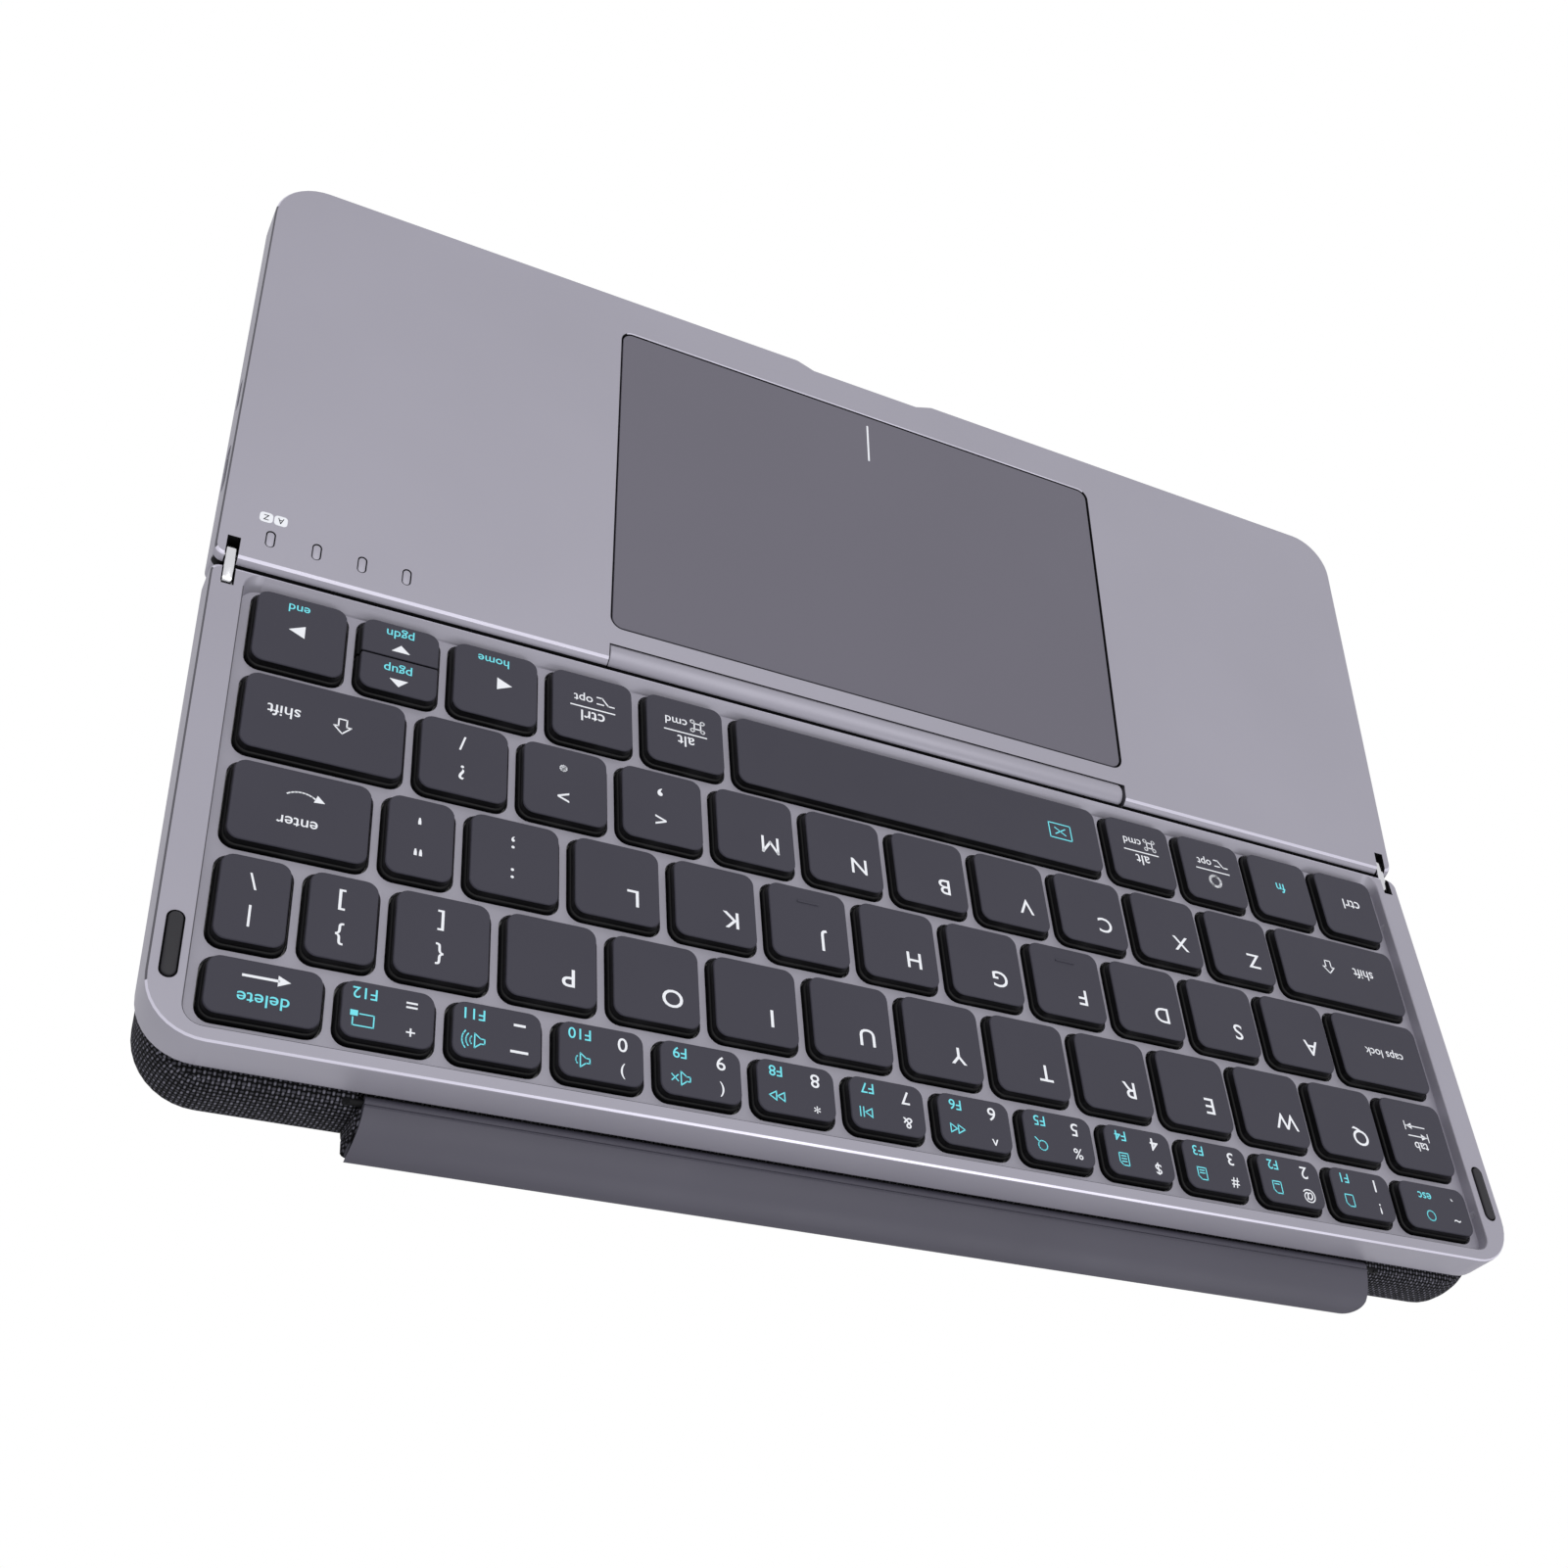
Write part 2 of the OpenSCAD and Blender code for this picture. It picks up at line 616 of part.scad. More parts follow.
module keys_magnet_shapes(grow) {
    for (x = [-1, 1], y = [magnet_from_pivot, touch_d - magnet_inset])
        translate([x * (case_w / 2 - wall - magnet_r - 0.3), y, rim_top - 1.2 - magnet_h - grow])
            cylinder(h = magnet_h + 2 * grow, r = magnet_r + grow);
}

module keys_magnets() {
    color(CHROME) on_keys_half() keys_magnet_shapes(0);
}

module keys_hinge_pins() {
    color(CHROME) on_keys_half() pins(pin_r);
}

// A sheet that fills the hollow under the deck, less a margin.
module inner_sheet(z, h, margin) {
    on_keys_half() translate([0, 0, z]) linear_extrude(h)
        rounded(-well_w / 2 + margin, well_w / 2 - margin, well_front + margin, well_rear - margin,
                well_r - margin);
}

module key_membrane() {
    color([0.7, 0.72, 0.75]) inner_sheet(membrane_top - membrane_t, membrane_t, 0.3);
}

module key_plate() {
    color([0.55, 0.56, 0.58]) inner_sheet(membrane_top - membrane_t - plate_t, plate_t, 0.2);
}

module keys_case_bottom() {
    plate_floor = membrane_top - membrane_t - plate_t;
    color(SILVER) {
        inner_sheet(keys_floor, wall, shell_clear);
        // ribs that carry the steel plate
        on_keys_half() for (row = [0 : 4])
            translate([-well_w / 2 + 6, key_y0(row) + 3, keys_floor + wall - eps])
                cube([well_w - 12, 1.5, plate_floor - keys_floor - wall + eps]);
    }
}

function dome_radius(depth) = min(dome_r, depth / 2 - 2.2);

module key_domes() {
    color([0.85, 0.85, 0.82]) on_keys_half() translate([0, 0, membrane_top]) {
        for (row = [0 : 4], i = [0 : len(ROWS[row]) - 1]) {
            x = (key_x0(row, i) + key_x1(row, i)) / 2;
            if (ROWS[row][i][0] == "key_arrow_up")
                for (part = [0.25, 0.75])
                    translate([x, key_y0(row) + part * row_depth, 0])
                        cylinder(h = support_h, r1 = 1.4, r2 = 0.9);
            else
                translate([x, (key_y0(row) + key_y1(row)) / 2, 0])
                    cylinder(h = support_h, r1 = dome_radius(key_y1(row) - key_y0(row)), r2 = 1);
        }
    }
}

module key_supports() {
    color([0.8, 0.8, 0.78]) on_keys_half() translate([0, 0, membrane_top])
        for (row = [0 : 4], i = [0 : len(ROWS[row]) - 1])
            if (ROWS[row][i][0] != "key_arrow_up") {
                inset = cap_wall - body_flare + support_clear;
                x = (key_x0(row, i) + key_x1(row, i)) / 2;
                y = (key_y0(row) + key_y1(row)) / 2;
                w = min(key_x1(row, i) - key_x0(row, i), row_depth) - 2 * inset;
                d = key_y1(row) - key_y0(row) - 2 * inset;
                linear_extrude(support_h) difference() {
                    translate([x - w / 2, y - d / 2]) square([w, d]);
                    translate([x - w / 2 + support_w, y - d / 2 + support_w])
                        square([w - 2 * support_w, d - 2 * support_w]);
                }
            }
}

// One keycap over a top face. The skirt flares out in front and behind by its own amounts.
module keycap(x0, x1, y0, y1, front = cap_flare, rear = cap_flare) {
    color(KEY_BLACK) on_keys_half() difference() {
        union() {
            translate([0, 0, cap_top - cap_h]) linear_extrude(skirt_h)
                rounded(x0 - cap_flare, x1 + cap_flare, y0 - front, y1 + rear, cap_r);
            translate([0, 0, cap_top - cap_h]) linear_extrude(cap_h)
                rounded(x0 - body_flare, x1 + body_flare, y0 - min(front, body_flare),
                        y1 + min(rear, body_flare), cap_r);
        }
        translate([0, 0, cap_top - cap_h - eps]) linear_extrude(cap_h - cap_roof + eps)
            rounded(x0 + cap_wall, x1 - cap_wall, y0 + cap_wall, y1 - cap_wall, 1);
    }
}

// All the keycaps of one node.
module keycaps(name) {
    for (row = [0 : 4], i = [0 : len(ROWS[row]) - 1])
        if (ROWS[row][i][0] == name)
            keycap(key_x0(row, i), key_x1(row, i), key_y0(row), key_y1(row));
}

// The up and down arrow keys share one place in the front row; part 0 is in front, part 1 behind.
module arrow_keycap(part) {
    row = 0;
    i = 8;
    half = (row_depth - arrow_gap) / 2;
    y0 = key_y0(row) + part * (half + arrow_gap);
    keycap(key_x0(row, i), key_x1(row, i), y0, y0 + half, part == 0 ? cap_flare : 0,
           part == 0 ? 0 : cap_flare);
}

// ---- cover and flap ----

// The padded cover fills the wedge between the keys half and the table.
module fabric_cover() {
    rear = keys_d + cover_bulge;
    top = keys_floor - cover_gap;
    color(FABRIC) intersection() {
        on_keys_half() difference() {
            intersection() {
                translate([0, 0, top - far / 2]) linear_extrude(far / 2)
                    rounded(-case_w / 2 + cover_inset, case_w / 2 - cover_inset, cover_from_pivot, rear,
                            corner_r + 1);
                along_x(case_w) {
                    translate([rear - cover_edge_r, top - cover_edge_r]) circle(cover_edge_r, $fn = 64);
                    translate([0, top - far / 2]) square([rear - cover_edge_r, far / 2]);
                }
            }
            // room for the flap, and for the rod with its brackets
            translate([flap_x - flap_w / 2 - 0.4, keys_d - 0.9, -far / 2]) cube([flap_w + 0.8, far, far]);
            translate([flap_x - flap_w / 2 - 3.4, rod_y - 4.4, rod_z - 1.2]) cube([flap_w + 6.8, far, 20]);
        }
        translate([-far / 2, -far / 2, 0]) cube([far, far, far]);
    }
}

module flap_rod() {
    rod_l = flap_w + 4;
    color(CHROME) on_keys_half() {
        along_x(rod_l, flap_x) translate([rod_y, rod_z]) circle(rod_r);
        // brackets that hang the rod under the keys half
        for (side = [-1, 1])
            translate([flap_x + side * (rod_l / 2 + 0.5) - 0.5, rod_y - 4, rod_z - rod_r])
                cube([1, 2.6, keys_floor - rod_z + rod_r]);
        for (side = [-1, 1])
            translate([flap_x + side * (rod_l / 2 + 0.5) - 0.5, rod_y - 4, rod_z - rod_r])
                cube([1, 4 + rod_r, 2 * rod_r]);
    }
}

// The flap slopes down from its rod to a nose and folds back under itself to the table.
module stand_flap() {
    barrel = rod_r + knuckle_t;
    color(DARK_SILVER) on_keys_half() intersection() {
        along_x(flap_w, flap_x) difference() {
            union() {
                translate([rod_y, rod_z]) circle(barrel);
                slab([rod_y, rod_z + barrel - flap_t / 2], [nose_y - flap_t / 2, nose_z]);
                slab([nose_y - flap_t / 2, nose_z], [foot_y, foot_z + flap_t / 2]);
            }
            translate([rod_y, rod_z]) circle(rod_r + pin_clear);
        }
        // round corners of the nose, in plan
        translate([0, 0, -far / 2]) linear_extrude(far)
            rounded(flap_x - flap_w / 2, flap_x + flap_w / 2, rod_y - 4 * flap_r, nose_y, flap_r);
    }
}

// A strip as thick as the flap from one point to another, with round ends.
module slab(a, b) {
    angle = atan2(b[1] - a[1], b[0] - a[0]);
    for (p = [a, b]) translate(p) circle(flap_t / 2);
    translate(a) rotate(angle) translate([0, -flap_t / 2]) square([norm(b - a), flap_t]);
}

touchpad_case();
touchpad_case_bottom();
main_board();
battery();
charging_socket();
power_switch_body();
power_slider();
indicator_windows();
touchpad_plate();
sensor_board();
click_dome();
touchpad_magnets();
rubber_feet();
touchpad_hinge_pins();
cable_barrel();
flex_ribbon();
hinge_link_left();
hinge_link_right();
keys_frame();
key_supports();
key_domes();
key_membrane();
key_plate();
rim_pads();
keys_case_bottom();
keys_magnets();
keys_hinge_pins();
fabric_cover();
flap_rod();
stand_flap();
keycaps("key_ctrl_left");  // key_ctrl_left
keycaps("key_fn");  // key_fn
keycaps("key_system");  // key_system
keycaps("key_alt_left");  // key_alt_left
keycaps("key_space");  // key_space
keycaps("key_alt_right");  // key_alt_right
keycaps("key_ctrl_right");  // key_ctrl_right
keycaps("key_arrow_left");  // key_arrow_left
arrow_keycap(0);  // key_arrow_down
arrow_keycap(1);  // key_arrow_up
keycaps("key_arrow_right");  // key_arrow_right
keycaps("key_shift_left");  // key_shift_left
keycaps("key_shift_right");  // key_shift_right
keycaps("key_caps_lock");  // key_caps_lock
keycaps("key_enter");  // key_enter
keycaps("key_tab");  // key_tab
keycaps("key_backslash");  // key_backslash
keycaps("key_esc");  // key_esc
keycaps("key_delete");  // key_delete
keycaps("keys_1qaz");  // keys_1qaz
keycaps("keys_2wsx");  // keys_2wsx
keycaps("keys_3edc");  // keys_3edc
keycaps("keys_4rfv");  // keys_4rfv
keycaps("keys_5tgb");  // keys_5tgb
keycaps("keys_6yhn");  // keys_6yhn
keycaps("keys_7ujm");  // keys_7ujm
keycaps("keys_8ik_comma");  // keys_8ik_comma
keycaps("keys_9ol_dot");  // keys_9ol_dot
keycaps("keys_0p_slash");  // keys_0p_slash
keycaps("keys_brackets");  // keys_brackets
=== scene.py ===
"""Looks of a folding keyboard: keycaps, legends, case halves, touchpad, hinge links, cover and flap.

Local frames, in millimetres, match the part's own: each case half is described about its hinge pivot, with
the second number growing away from the hinge and the third one up from the pivot.
"""

import math

import bmesh
import bpy
from bpy.props import FloatProperty, FloatVectorProperty, PointerProperty
from mathutils import Matrix, Vector


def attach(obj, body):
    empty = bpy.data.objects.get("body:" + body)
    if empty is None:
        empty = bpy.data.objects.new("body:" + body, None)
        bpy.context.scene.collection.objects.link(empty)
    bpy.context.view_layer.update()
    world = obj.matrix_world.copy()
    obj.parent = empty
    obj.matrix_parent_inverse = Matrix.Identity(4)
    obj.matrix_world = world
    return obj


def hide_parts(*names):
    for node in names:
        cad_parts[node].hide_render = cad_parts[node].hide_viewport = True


bl_info = {
    "name": "Folding keyboard",
    "version": (1, 0, 0),
    "blender": (4, 5, 0),
    "location": "View3D > Sidebar > Keyboard",
    "description": "Builds the looks of a folding keyboard around its packed frame",
    "category": "Object",
}

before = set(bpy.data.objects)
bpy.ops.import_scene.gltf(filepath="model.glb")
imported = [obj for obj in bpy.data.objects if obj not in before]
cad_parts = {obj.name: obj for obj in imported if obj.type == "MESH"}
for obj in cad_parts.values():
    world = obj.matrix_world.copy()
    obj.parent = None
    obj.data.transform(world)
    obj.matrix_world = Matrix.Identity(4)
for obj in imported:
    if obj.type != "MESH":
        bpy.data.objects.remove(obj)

MM = 0.001

# ---- sizes, in millimetres, as in the part's source ----
KEY_PITCH, KEY_GAP, UNITS, NUMBER_D = 17.0, 2.85, 13.5, 8.9
ROW_D = KEY_PITCH - KEY_GAP
FIELD_W = UNITS * KEY_PITCH - KEY_GAP
FIELD_Y = 1.1
CAP_H, CAP_ROOF, CAP_FLARE, CAP_R, CAP_WALL = 2.8, 0.9, 0.55, 1.9, 0.9
ARROW_GAP, SPLIT_R, KEY_CLEAR = 0.4, 0.25, 0.3
MARGIN, SIDE_RIM, REAR_RIM = 2.5, 5.4, 2.3
WELL_DEPTH, WELL_R, DECK_T, WELL_FRONT = 2.2, 3.0, 0.8, -0.9
CASE_W = FIELD_W + 2 * MARGIN + 2 * SIDE_RIM
WELL_W = FIELD_W + 2 * MARGIN
WELL_REAR = FIELD_Y + 4 * KEY_PITCH + NUMBER_D + MARGIN
KEYS_D = WELL_REAR + REAR_RIM
TOUCH_D, TOUCH_T, KEYS_T, WALL, FOOT = 85.0, 7.4, 7.4, 1.2, 0.6
TILT, LINK_L, PIVOT, HINGE_R = 6.48, 5.8, 2.5, 2.75
LINK_R, LINK_T, LINK_INSET, LINK_CLEAR, LINK_TOP = 1.3, 1.6, 2.75, 0.25, 1.95
CORNER_R, HINGE_CORNER_R = 9.0, 1.6
BARREL_L, BARREL_R, BARREL_CLEAR, BARREL_NOSE = 107.8, 2.7, 0.15, 1.4
PAD_W, PAD_D, PAD_O, PAD_R, PAD_T, PAD_DROP, PAD_CLEAR = 107.4, 70.2, 5.6, 2.0, 0.9, 0.15, 0.3
WINDOW_N, WINDOW_PITCH, WINDOW_INSET, WINDOW_O, WINDOW_W, WINDOW_L = 4, 7.53, 8.3, 3.55, 1.6, 3.3
SOCKET_O, SOCKET_W, SOCKET_H, SWITCH_O, SWITCH_W, SWITCH_H = 18.2, 9.0, 3.2, 34.5, 6.0, 2.0
NOTCH_W, NOTCH_D = 34.0, 1.6
COVER_FRONT, COVER_BULGE, COVER_GAP, COVER_R, COVER_INSET, COVER_DRAW = 11.0, 2.1, 0.3, 10.0, 1.5, 4.4
FLAP_W, FLAP_X, FLAP_REACH, FLAP_FALL = 180.7, -1.85, 7.7, 3.7
ROD_R, KNUCKLE = 0.6, 0.5

# ---- sizes of the looks alone ----
CASE_LOW_R, CASE_CHAMFER, PAD_CHAMFER = 0.8, 0.3, 0.14
LENS_GAP, LENS_T, LENS_DROP, LENS_CHAMFER = 0.2, 1.19, 0.06, 0.08
RIM_PAD_W, RIM_PAD_L, RIM_PAD_SINK, RIM_PAD_RISE = 2.04, 10.2, 0.75, 0.35
SEAT_SIDE, SEAT_END, SEAT_DEPTH = 0.28, 0.3, 0.8
COVER_FRONT_R, COVER_EDGE, COVER_STEPS = 4.0, 1.5, 18
POCKET_LEFT, POCKET_RIGHT, POCKET_FRONT, POCKET_REAR = 0.4, 0.95, 0.9, 20.0
FLAP_FLARE, FLAP_NOSE_R, FLAP_NOSE_CUT, FLAP_SKIN = 1.1, 4.5, 0.42, 0.5
CORE_FLARE, CORE_FLARE_Y = 0.25, 87.0
MARK_W, MARK_NEAR, MARK_FAR = 0.4, 64.0, 73.4
BADGE_W, BADGE_D, BADGE_R, BADGE_STEP, BADGE_O = 2.16, 1.96, 0.6, 1.18, 4.1
# How far cutters reach up and down: the flap pocket's, those of the case halves and those of the link slots.
AWAY, DEEP, SLOT_REACH = 40.0, 8.0, 6.0
DECK_AREA = 2e-3  # square metres; the key well's deck is larger and its walls are smaller

# ---- places that follow from them ----
CAP_TOP = PIVOT - 0.3
DECK_TOP = PIVOT - WELL_DEPTH
KEYS_FLOOR = PIVOT - KEYS_T
TOUCH_FLOOR = PIVOT - TOUCH_T
PIVOT_Z = FOOT + TOUCH_T - PIVOT
LINK_X = CASE_W / 2 - LINK_INSET
ROD_Y, ROD_Z = KEYS_D + 0.6, KEYS_FLOOR - ROD_R - KNUCKLE - 0.1
NOSE_Y, NOSE_Z = ROD_Y + FLAP_REACH, ROD_Z - FLAP_FALL
_c, _s = math.cos(math.radians(TILT)), math.sin(math.radians(TILT))
K_OFF = (LINK_L * math.cos(math.radians(TILT / 2)), LINK_L * math.sin(math.radians(TILT / 2)))
PIVOT_Y = (TOUCH_D - (K_OFF[0] + NOSE_Y * _c - NOSE_Z * _s)) / 2
RIM_PAD_X, RIM_PAD_Y = CASE_W / 2 - LINK_INSET - 0.1, FIELD_Y + 62.75
COVER_TOP, COVER_HALF = KEYS_FLOOR - COVER_GAP, CASE_W / 2 - COVER_INSET
FLAP_LOW, FLAP_HIGH = FLAP_X - FLAP_W / 2, FLAP_X + FLAP_W / 2


def on_keys(x, y, z):
    """A point about the keys half's pivot, as metres in the row frame."""
    return Vector((x, PIVOT_Y + K_OFF[0] + y * _c - z * _s, PIVOT_Z + K_OFF[1] + y * _s + z * _c)) * MM


def on_touch(x, o, z):
    """A point about the touchpad half's pivot, o outwards from the hinge, as metres in the row frame."""
    return Vector((x, PIVOT_Y - o, PIVOT_Z + z)) * MM


def table_z(y):
    """Height of the table in the keys half's local frame at a distance y from its pivot."""
    return -(PIVOT_Z + K_OFF[1] + y * _s) / _c


# Keys of each row from the user's left: CAD node, width in key pitches, legend.
NUM = 0.944
COLUMNS = ("keys_1qaz", "keys_2wsx", "keys_3edc", "keys_4rfv", "keys_5tgb", "keys_6yhn", "keys_7ujm",
           "keys_8ik_comma", "keys_9ol_dot", "keys_0p_slash")
ROWS = (
    [("key_ctrl_left", 1, "ctrl"), ("key_fn", 1, "fn"), ("key_system", 1, "system"),
     ("key_alt_left", 1, "alt"), ("key_space", 4.6, "space"),
     ("key_alt_right", 1, "alt"), ("key_ctrl_right", 1, "ctrl_opt"),
     ("key_arrow_left", 1, "left"), ("key_arrow_up", 0.9, "up_down"), ("key_arrow_right", 1, "right")],
    [("key_shift_left", 1.88, "shift_left")]
    + [(n, 1, t) for n, t in zip(COLUMNS, list("ZXCVBNM") + ["< ,", "> .", "? /"])]
    + [("key_shift_right", 1.62, "shift_right")],
    [("key_caps_lock", 1.365, "caps")]
    + [(n, 1, t) for n, t in zip(COLUMNS, list("ASDFGHJKL") + [": ;"])]
    + [("keys_brackets", 0.765, "\" '"), ("key_enter", 1.37, "enter")],
    [("key_tab", 1, "tab")]
    + [(n, 1, t) for n, t in zip(COLUMNS, "QWERTYUIOP")]
    + [("keys_brackets", 1, "{ ["), ("keys_brackets", 0.75, "} ]"), ("key_backslash", 0.75, "| \\")],
    [("key_esc", 1.072, "esc")]
    + [(n, NUM, t) for n, t in zip(COLUMNS, ("!1", "@2", "#3", "$4", "%5", "^6", "&7", "*8", "(9", ")0"))]
    + [("keys_brackets", NUM, "_-"), ("keys_brackets", NUM, "+="), ("key_delete", 1.1, "delete")],
)


def key_places():
    """Every key's cell in the field: (node, legend, x0, x1, y0, y1)."""
    for row, keys in enumerate(ROWS):
        x, y0 = -FIELD_W / 2, FIELD_Y + row * KEY_PITCH
        y1 = y0 + (NUMBER_D if row == 4 else ROW_D)
        for node, units, legend in keys:
            x1 = x + units * KEY_PITCH - KEY_GAP
            yield node, legend, x, x1, y0, y1
            x = x1 + KEY_GAP


def key_faces():
    """Every key's top face: (node, legend, x0, x1, y0, y1, front flare, rear flare)."""
    out = []
    half = (ROW_D - ARROW_GAP) / 2
    for node, legend, x0, x1, y0, y1 in key_places():
        if legend == "up_down":
            out.append(("key_arrow_down", "down", x0, x1, y0, y0 + half, CAP_FLARE, 0.0))
            out.append(("key_arrow_up", "up", x0, x1, y1 - half, y1, 0.0, CAP_FLARE))
        else:
            out.append((node, legend, x0, x1, y0, y1, CAP_FLARE, CAP_FLARE))
    return out


# Material slots of the case halves after their main finish: painted highlight, painted shade, and near-black
# painted shade for gaps and slots.
PAINTED_HIGHLIGHT, SHADE, GAP_SHADE = 1, 2, 3
CASE_SLOTS = ("case", "bright", "shade", "dark")
# Heights over the pivot between which the hinge gap's walls carry near-black painted shade, and how far from it
# they begin.
NOSE_LOW, NOSE_SHADE_TOP, NOSE_REACH = -1.0, 1.35, 1.6


# ---- mesh helpers ----


def polar(cx, cy, r, degrees):
    """A point on a circle."""
    a = math.radians(degrees)
    return cx + r * math.cos(a), cy + r * math.sin(a)


def outline(x0, x1, y0, y1, radii, seg=6):
    """Points of a rounded rectangle, counter-clockwise; radii is one number or (front, rear)."""
    front, rear = radii if isinstance(radii, tuple) else (radii, radii)
    room = min(x1 - x0, y1 - y0) / 2 - 1e-4
    pts = []
    for sx, sy, a0 in ((1, 1, 0), (-1, 1, 90), (-1, -1, 180), (1, -1, 270)):
        r = max(min(rear if sy > 0 else front, room), 1e-3)
        cx, cy = (x1 - r if sx > 0 else x0 + r), (y1 - r if sy > 0 else y0 + r)
        pts += [polar(cx, cy, r, a0 + 90 * i / seg) for i in range(seg + 1)]
    return pts


def loft(bm, rings, place, closed=(True, True), material=0):
    """Joins rings of (x, y, z) points into a skin and caps its first and last ring."""
    rows = [[bm.verts.new(place(*p)) for p in points] for points in rings]
    faces = []
    for a, b in zip(rows, rows[1:]):
        n = len(a)
        for i in range(n):
            j = (i + 1) % n
            faces.append(bm.faces.new((a[i], a[j], b[j], b[i])))
    if closed[0]:
        faces.append(bm.faces.new(rows[0][::-1]))
    if closed[1]:
        faces.append(bm.faces.new(rows[-1]))
    for f in faces:
        f.material_index = material
    return faces


def ring(z, *plan):
    """A rounded rectangle's points at a height."""
    return [(x, y, z) for x, y in outline(*plan)]


def quarter(steps):
    """Angles that divide a right angle."""
    return [math.pi / 2 * i / steps for i in range(steps + 1)]


def rounded(z, r, steps, way=1):
    """(height, inset) pairs of an edge that is rounded from z upwards, or downwards."""
    return [(z + way * r * (1 - math.cos(a)), r * (1 - math.sin(a))) for a in quarter(steps)]


def slab(bm, x0, x1, y0, y1, z0, z1, r, place, bevel=0.0, seg=6, steps=3, bottom=True, material=0):
    """A rounded plate with rounded upper and, if asked, lower edges."""
    low = rounded(z0, bevel, steps) if bevel and bottom else [(z0, 0.0)]
    high = rounded(z1, bevel, steps, -1)[::-1] if bevel else [(z1, 0.0)]
    rings = [ring(z, x0 + ins, x1 - ins, y0 + ins, y1 - ins, max(r - ins, 0.02), seg)
             for z, ins in low + high]
    return loft(bm, rings, place, material=material)


def new_object(name, bm, materials, flat_above=None, angle=38.0, fix=True):
    """Turns a bmesh into an object at the origin, shaded smooth with sharp edges where the surface turns."""
    if fix:
        bmesh.ops.recalc_face_normals(bm, faces=bm.faces)
    shade(bm, flat_above, angle)
    me = bpy.data.meshes.new(name)
    bm.to_mesh(me)
    bm.free()
    obj = bpy.data.objects.new(name, me)
    bpy.context.scene.collection.objects.link(obj)
    for m in materials:
        me.materials.append(m)
    return obj


def shade(bm, flat_above=None, angle=38.0):
    """Smooth faces, but flat ones above an area in square millimetres, and sharp edges above an angle."""
    for f in bm.faces:
        f.smooth = flat_above is None or f.calc_area() < flat_above * MM * MM
    for e in bm.edges:
        e.smooth = len(e.link_faces) == 2 and e.calc_face_angle(0.0) < math.radians(angle)


def carve(obj, *cutters):
    """Takes each cutter's volume out of obj."""
    for cut in cutters:
        bmesh.ops.recalc_face_normals(cut, faces=cut.faces)
        me = bpy.data.meshes.new("cutter")
        cut.to_mesh(me)
        cut.free()
        for m in obj.data.materials:
            me.materials.append(m)
        tool = bpy.data.objects.new("cutter", me)
        bpy.context.scene.collection.objects.link(tool)
        mod = obj.modifiers.new("cut", "BOOLEAN")
        mod.operation, mod.solver, mod.object = "DIFFERENCE", "EXACT", tool
        bpy.context.view_layer.update()
        done = bpy.data.meshes.new_from_object(obj.evaluated_get(bpy.context.evaluated_depsgraph_get()))
        obj.modifiers.clear()
        old, obj.data = obj.data, done
        done.name = obj.name
        bpy.data.meshes.remove(old)
        bpy.data.objects.remove(tool)
        bpy.data.meshes.remove(me)


def reshade(obj, flat_above, angle=30.0):
    """Cleans and shades a mesh that was carved."""
    bm = bmesh.new()
    bm.from_mesh(obj.data)
    bmesh.ops.remove_doubles(bm, verts=bm.verts, dist=2e-7)
    bmesh.ops.dissolve_degenerate(bm, edges=bm.edges, dist=1e-7)
    shade(bm, flat_above, angle)
    bm.to_mesh(obj.data)
    bm.free()


def box_cutter(x0, x1, y0, y1, z0, z1, place, material=0):
    """A box to carve with."""
    bm = bmesh.new()
    loft(bm, [[(x, y, z) for x, y in ((x1, y1), (x0, y1), (x0, y0), (x1, y0))] for z in (z0, z1)], place,
         material=material)
    return bm


def prism(x0, x1, y0, y1, z0, z1, r, place):
    """A box with rounded upright edges to carve with."""
    bm = bmesh.new()
    slab(bm, x0, x1, y0, y1, z0, z1, r, place, seg=8)
    return bm


def rail(bm, section, x0, x1, place, material=0):
    """Sweeps a closed section of (y, z) points along X."""
    return loft(bm, [[(x, y, z) for y, z in section] for x in (x0, x1)], place, material=material)


def circle_section(r, n):
    """A circle of (y, z) points about the pivot."""
    return [polar(0, 0, r, 360 * i / n) for i in range(n)]


def face_up(bm, points, material=0):
    """A face that looks upwards."""
    f = bm.faces.new([bm.verts.new(p) for p in points])
    f.normal_update()
    if f.normal.z < 0:
        f.normal_flip()
    f.material_index = material


def stroke(start, end, half):
    """Corners of a straight pen stroke with square ends."""
    (ax, ay), (bx, by) = start, end
    n = math.hypot(bx - ax, by - ay) or 1
    ux, uy = (bx - ax) / n * half, (by - ay) / n * half
    return ((ax - ux - uy, ay - uy + ux), (ax - ux + uy, ay - uy - ux),
            (bx + ux + uy, by + uy - ux), (bx + ux - uy, by + uy + ux))


# ---- materials ----


def lin(*rgb):
    """sRGB in 0 to 255 as a linear colour."""
    out = [((c / 255 + 0.055) / 1.055) ** 2.4 if c > 10 else c / 255 / 12.92 for c in rgb]
    return (*out, 1.0)


def feed(tree, socket, value):
    """Links another node's output to a socket, or sets its value."""
    if isinstance(value, Sock):
        tree.links.new(value.out, socket)
    else:
        socket.default_value = value


class Sock:
    """An output socket with arithmetic, so that shader maths reads as maths."""

    def __init__(self, tree, out):
        self.tree, self.out = tree, out

    def math(self, op, *others):
        n = self.tree.nodes.new("ShaderNodeMath")
        n.operation = op
        for i, v in enumerate((self, *others)):
            feed(self.tree, n.inputs[i], v)
        return Sock(self.tree, n.outputs[0])

    def __add__(self, o):
        return self.math("ADD", o)

    def __sub__(self, o):
        return self.math("SUBTRACT", o)

    def __mul__(self, o):
        return self.math("MULTIPLY", o)


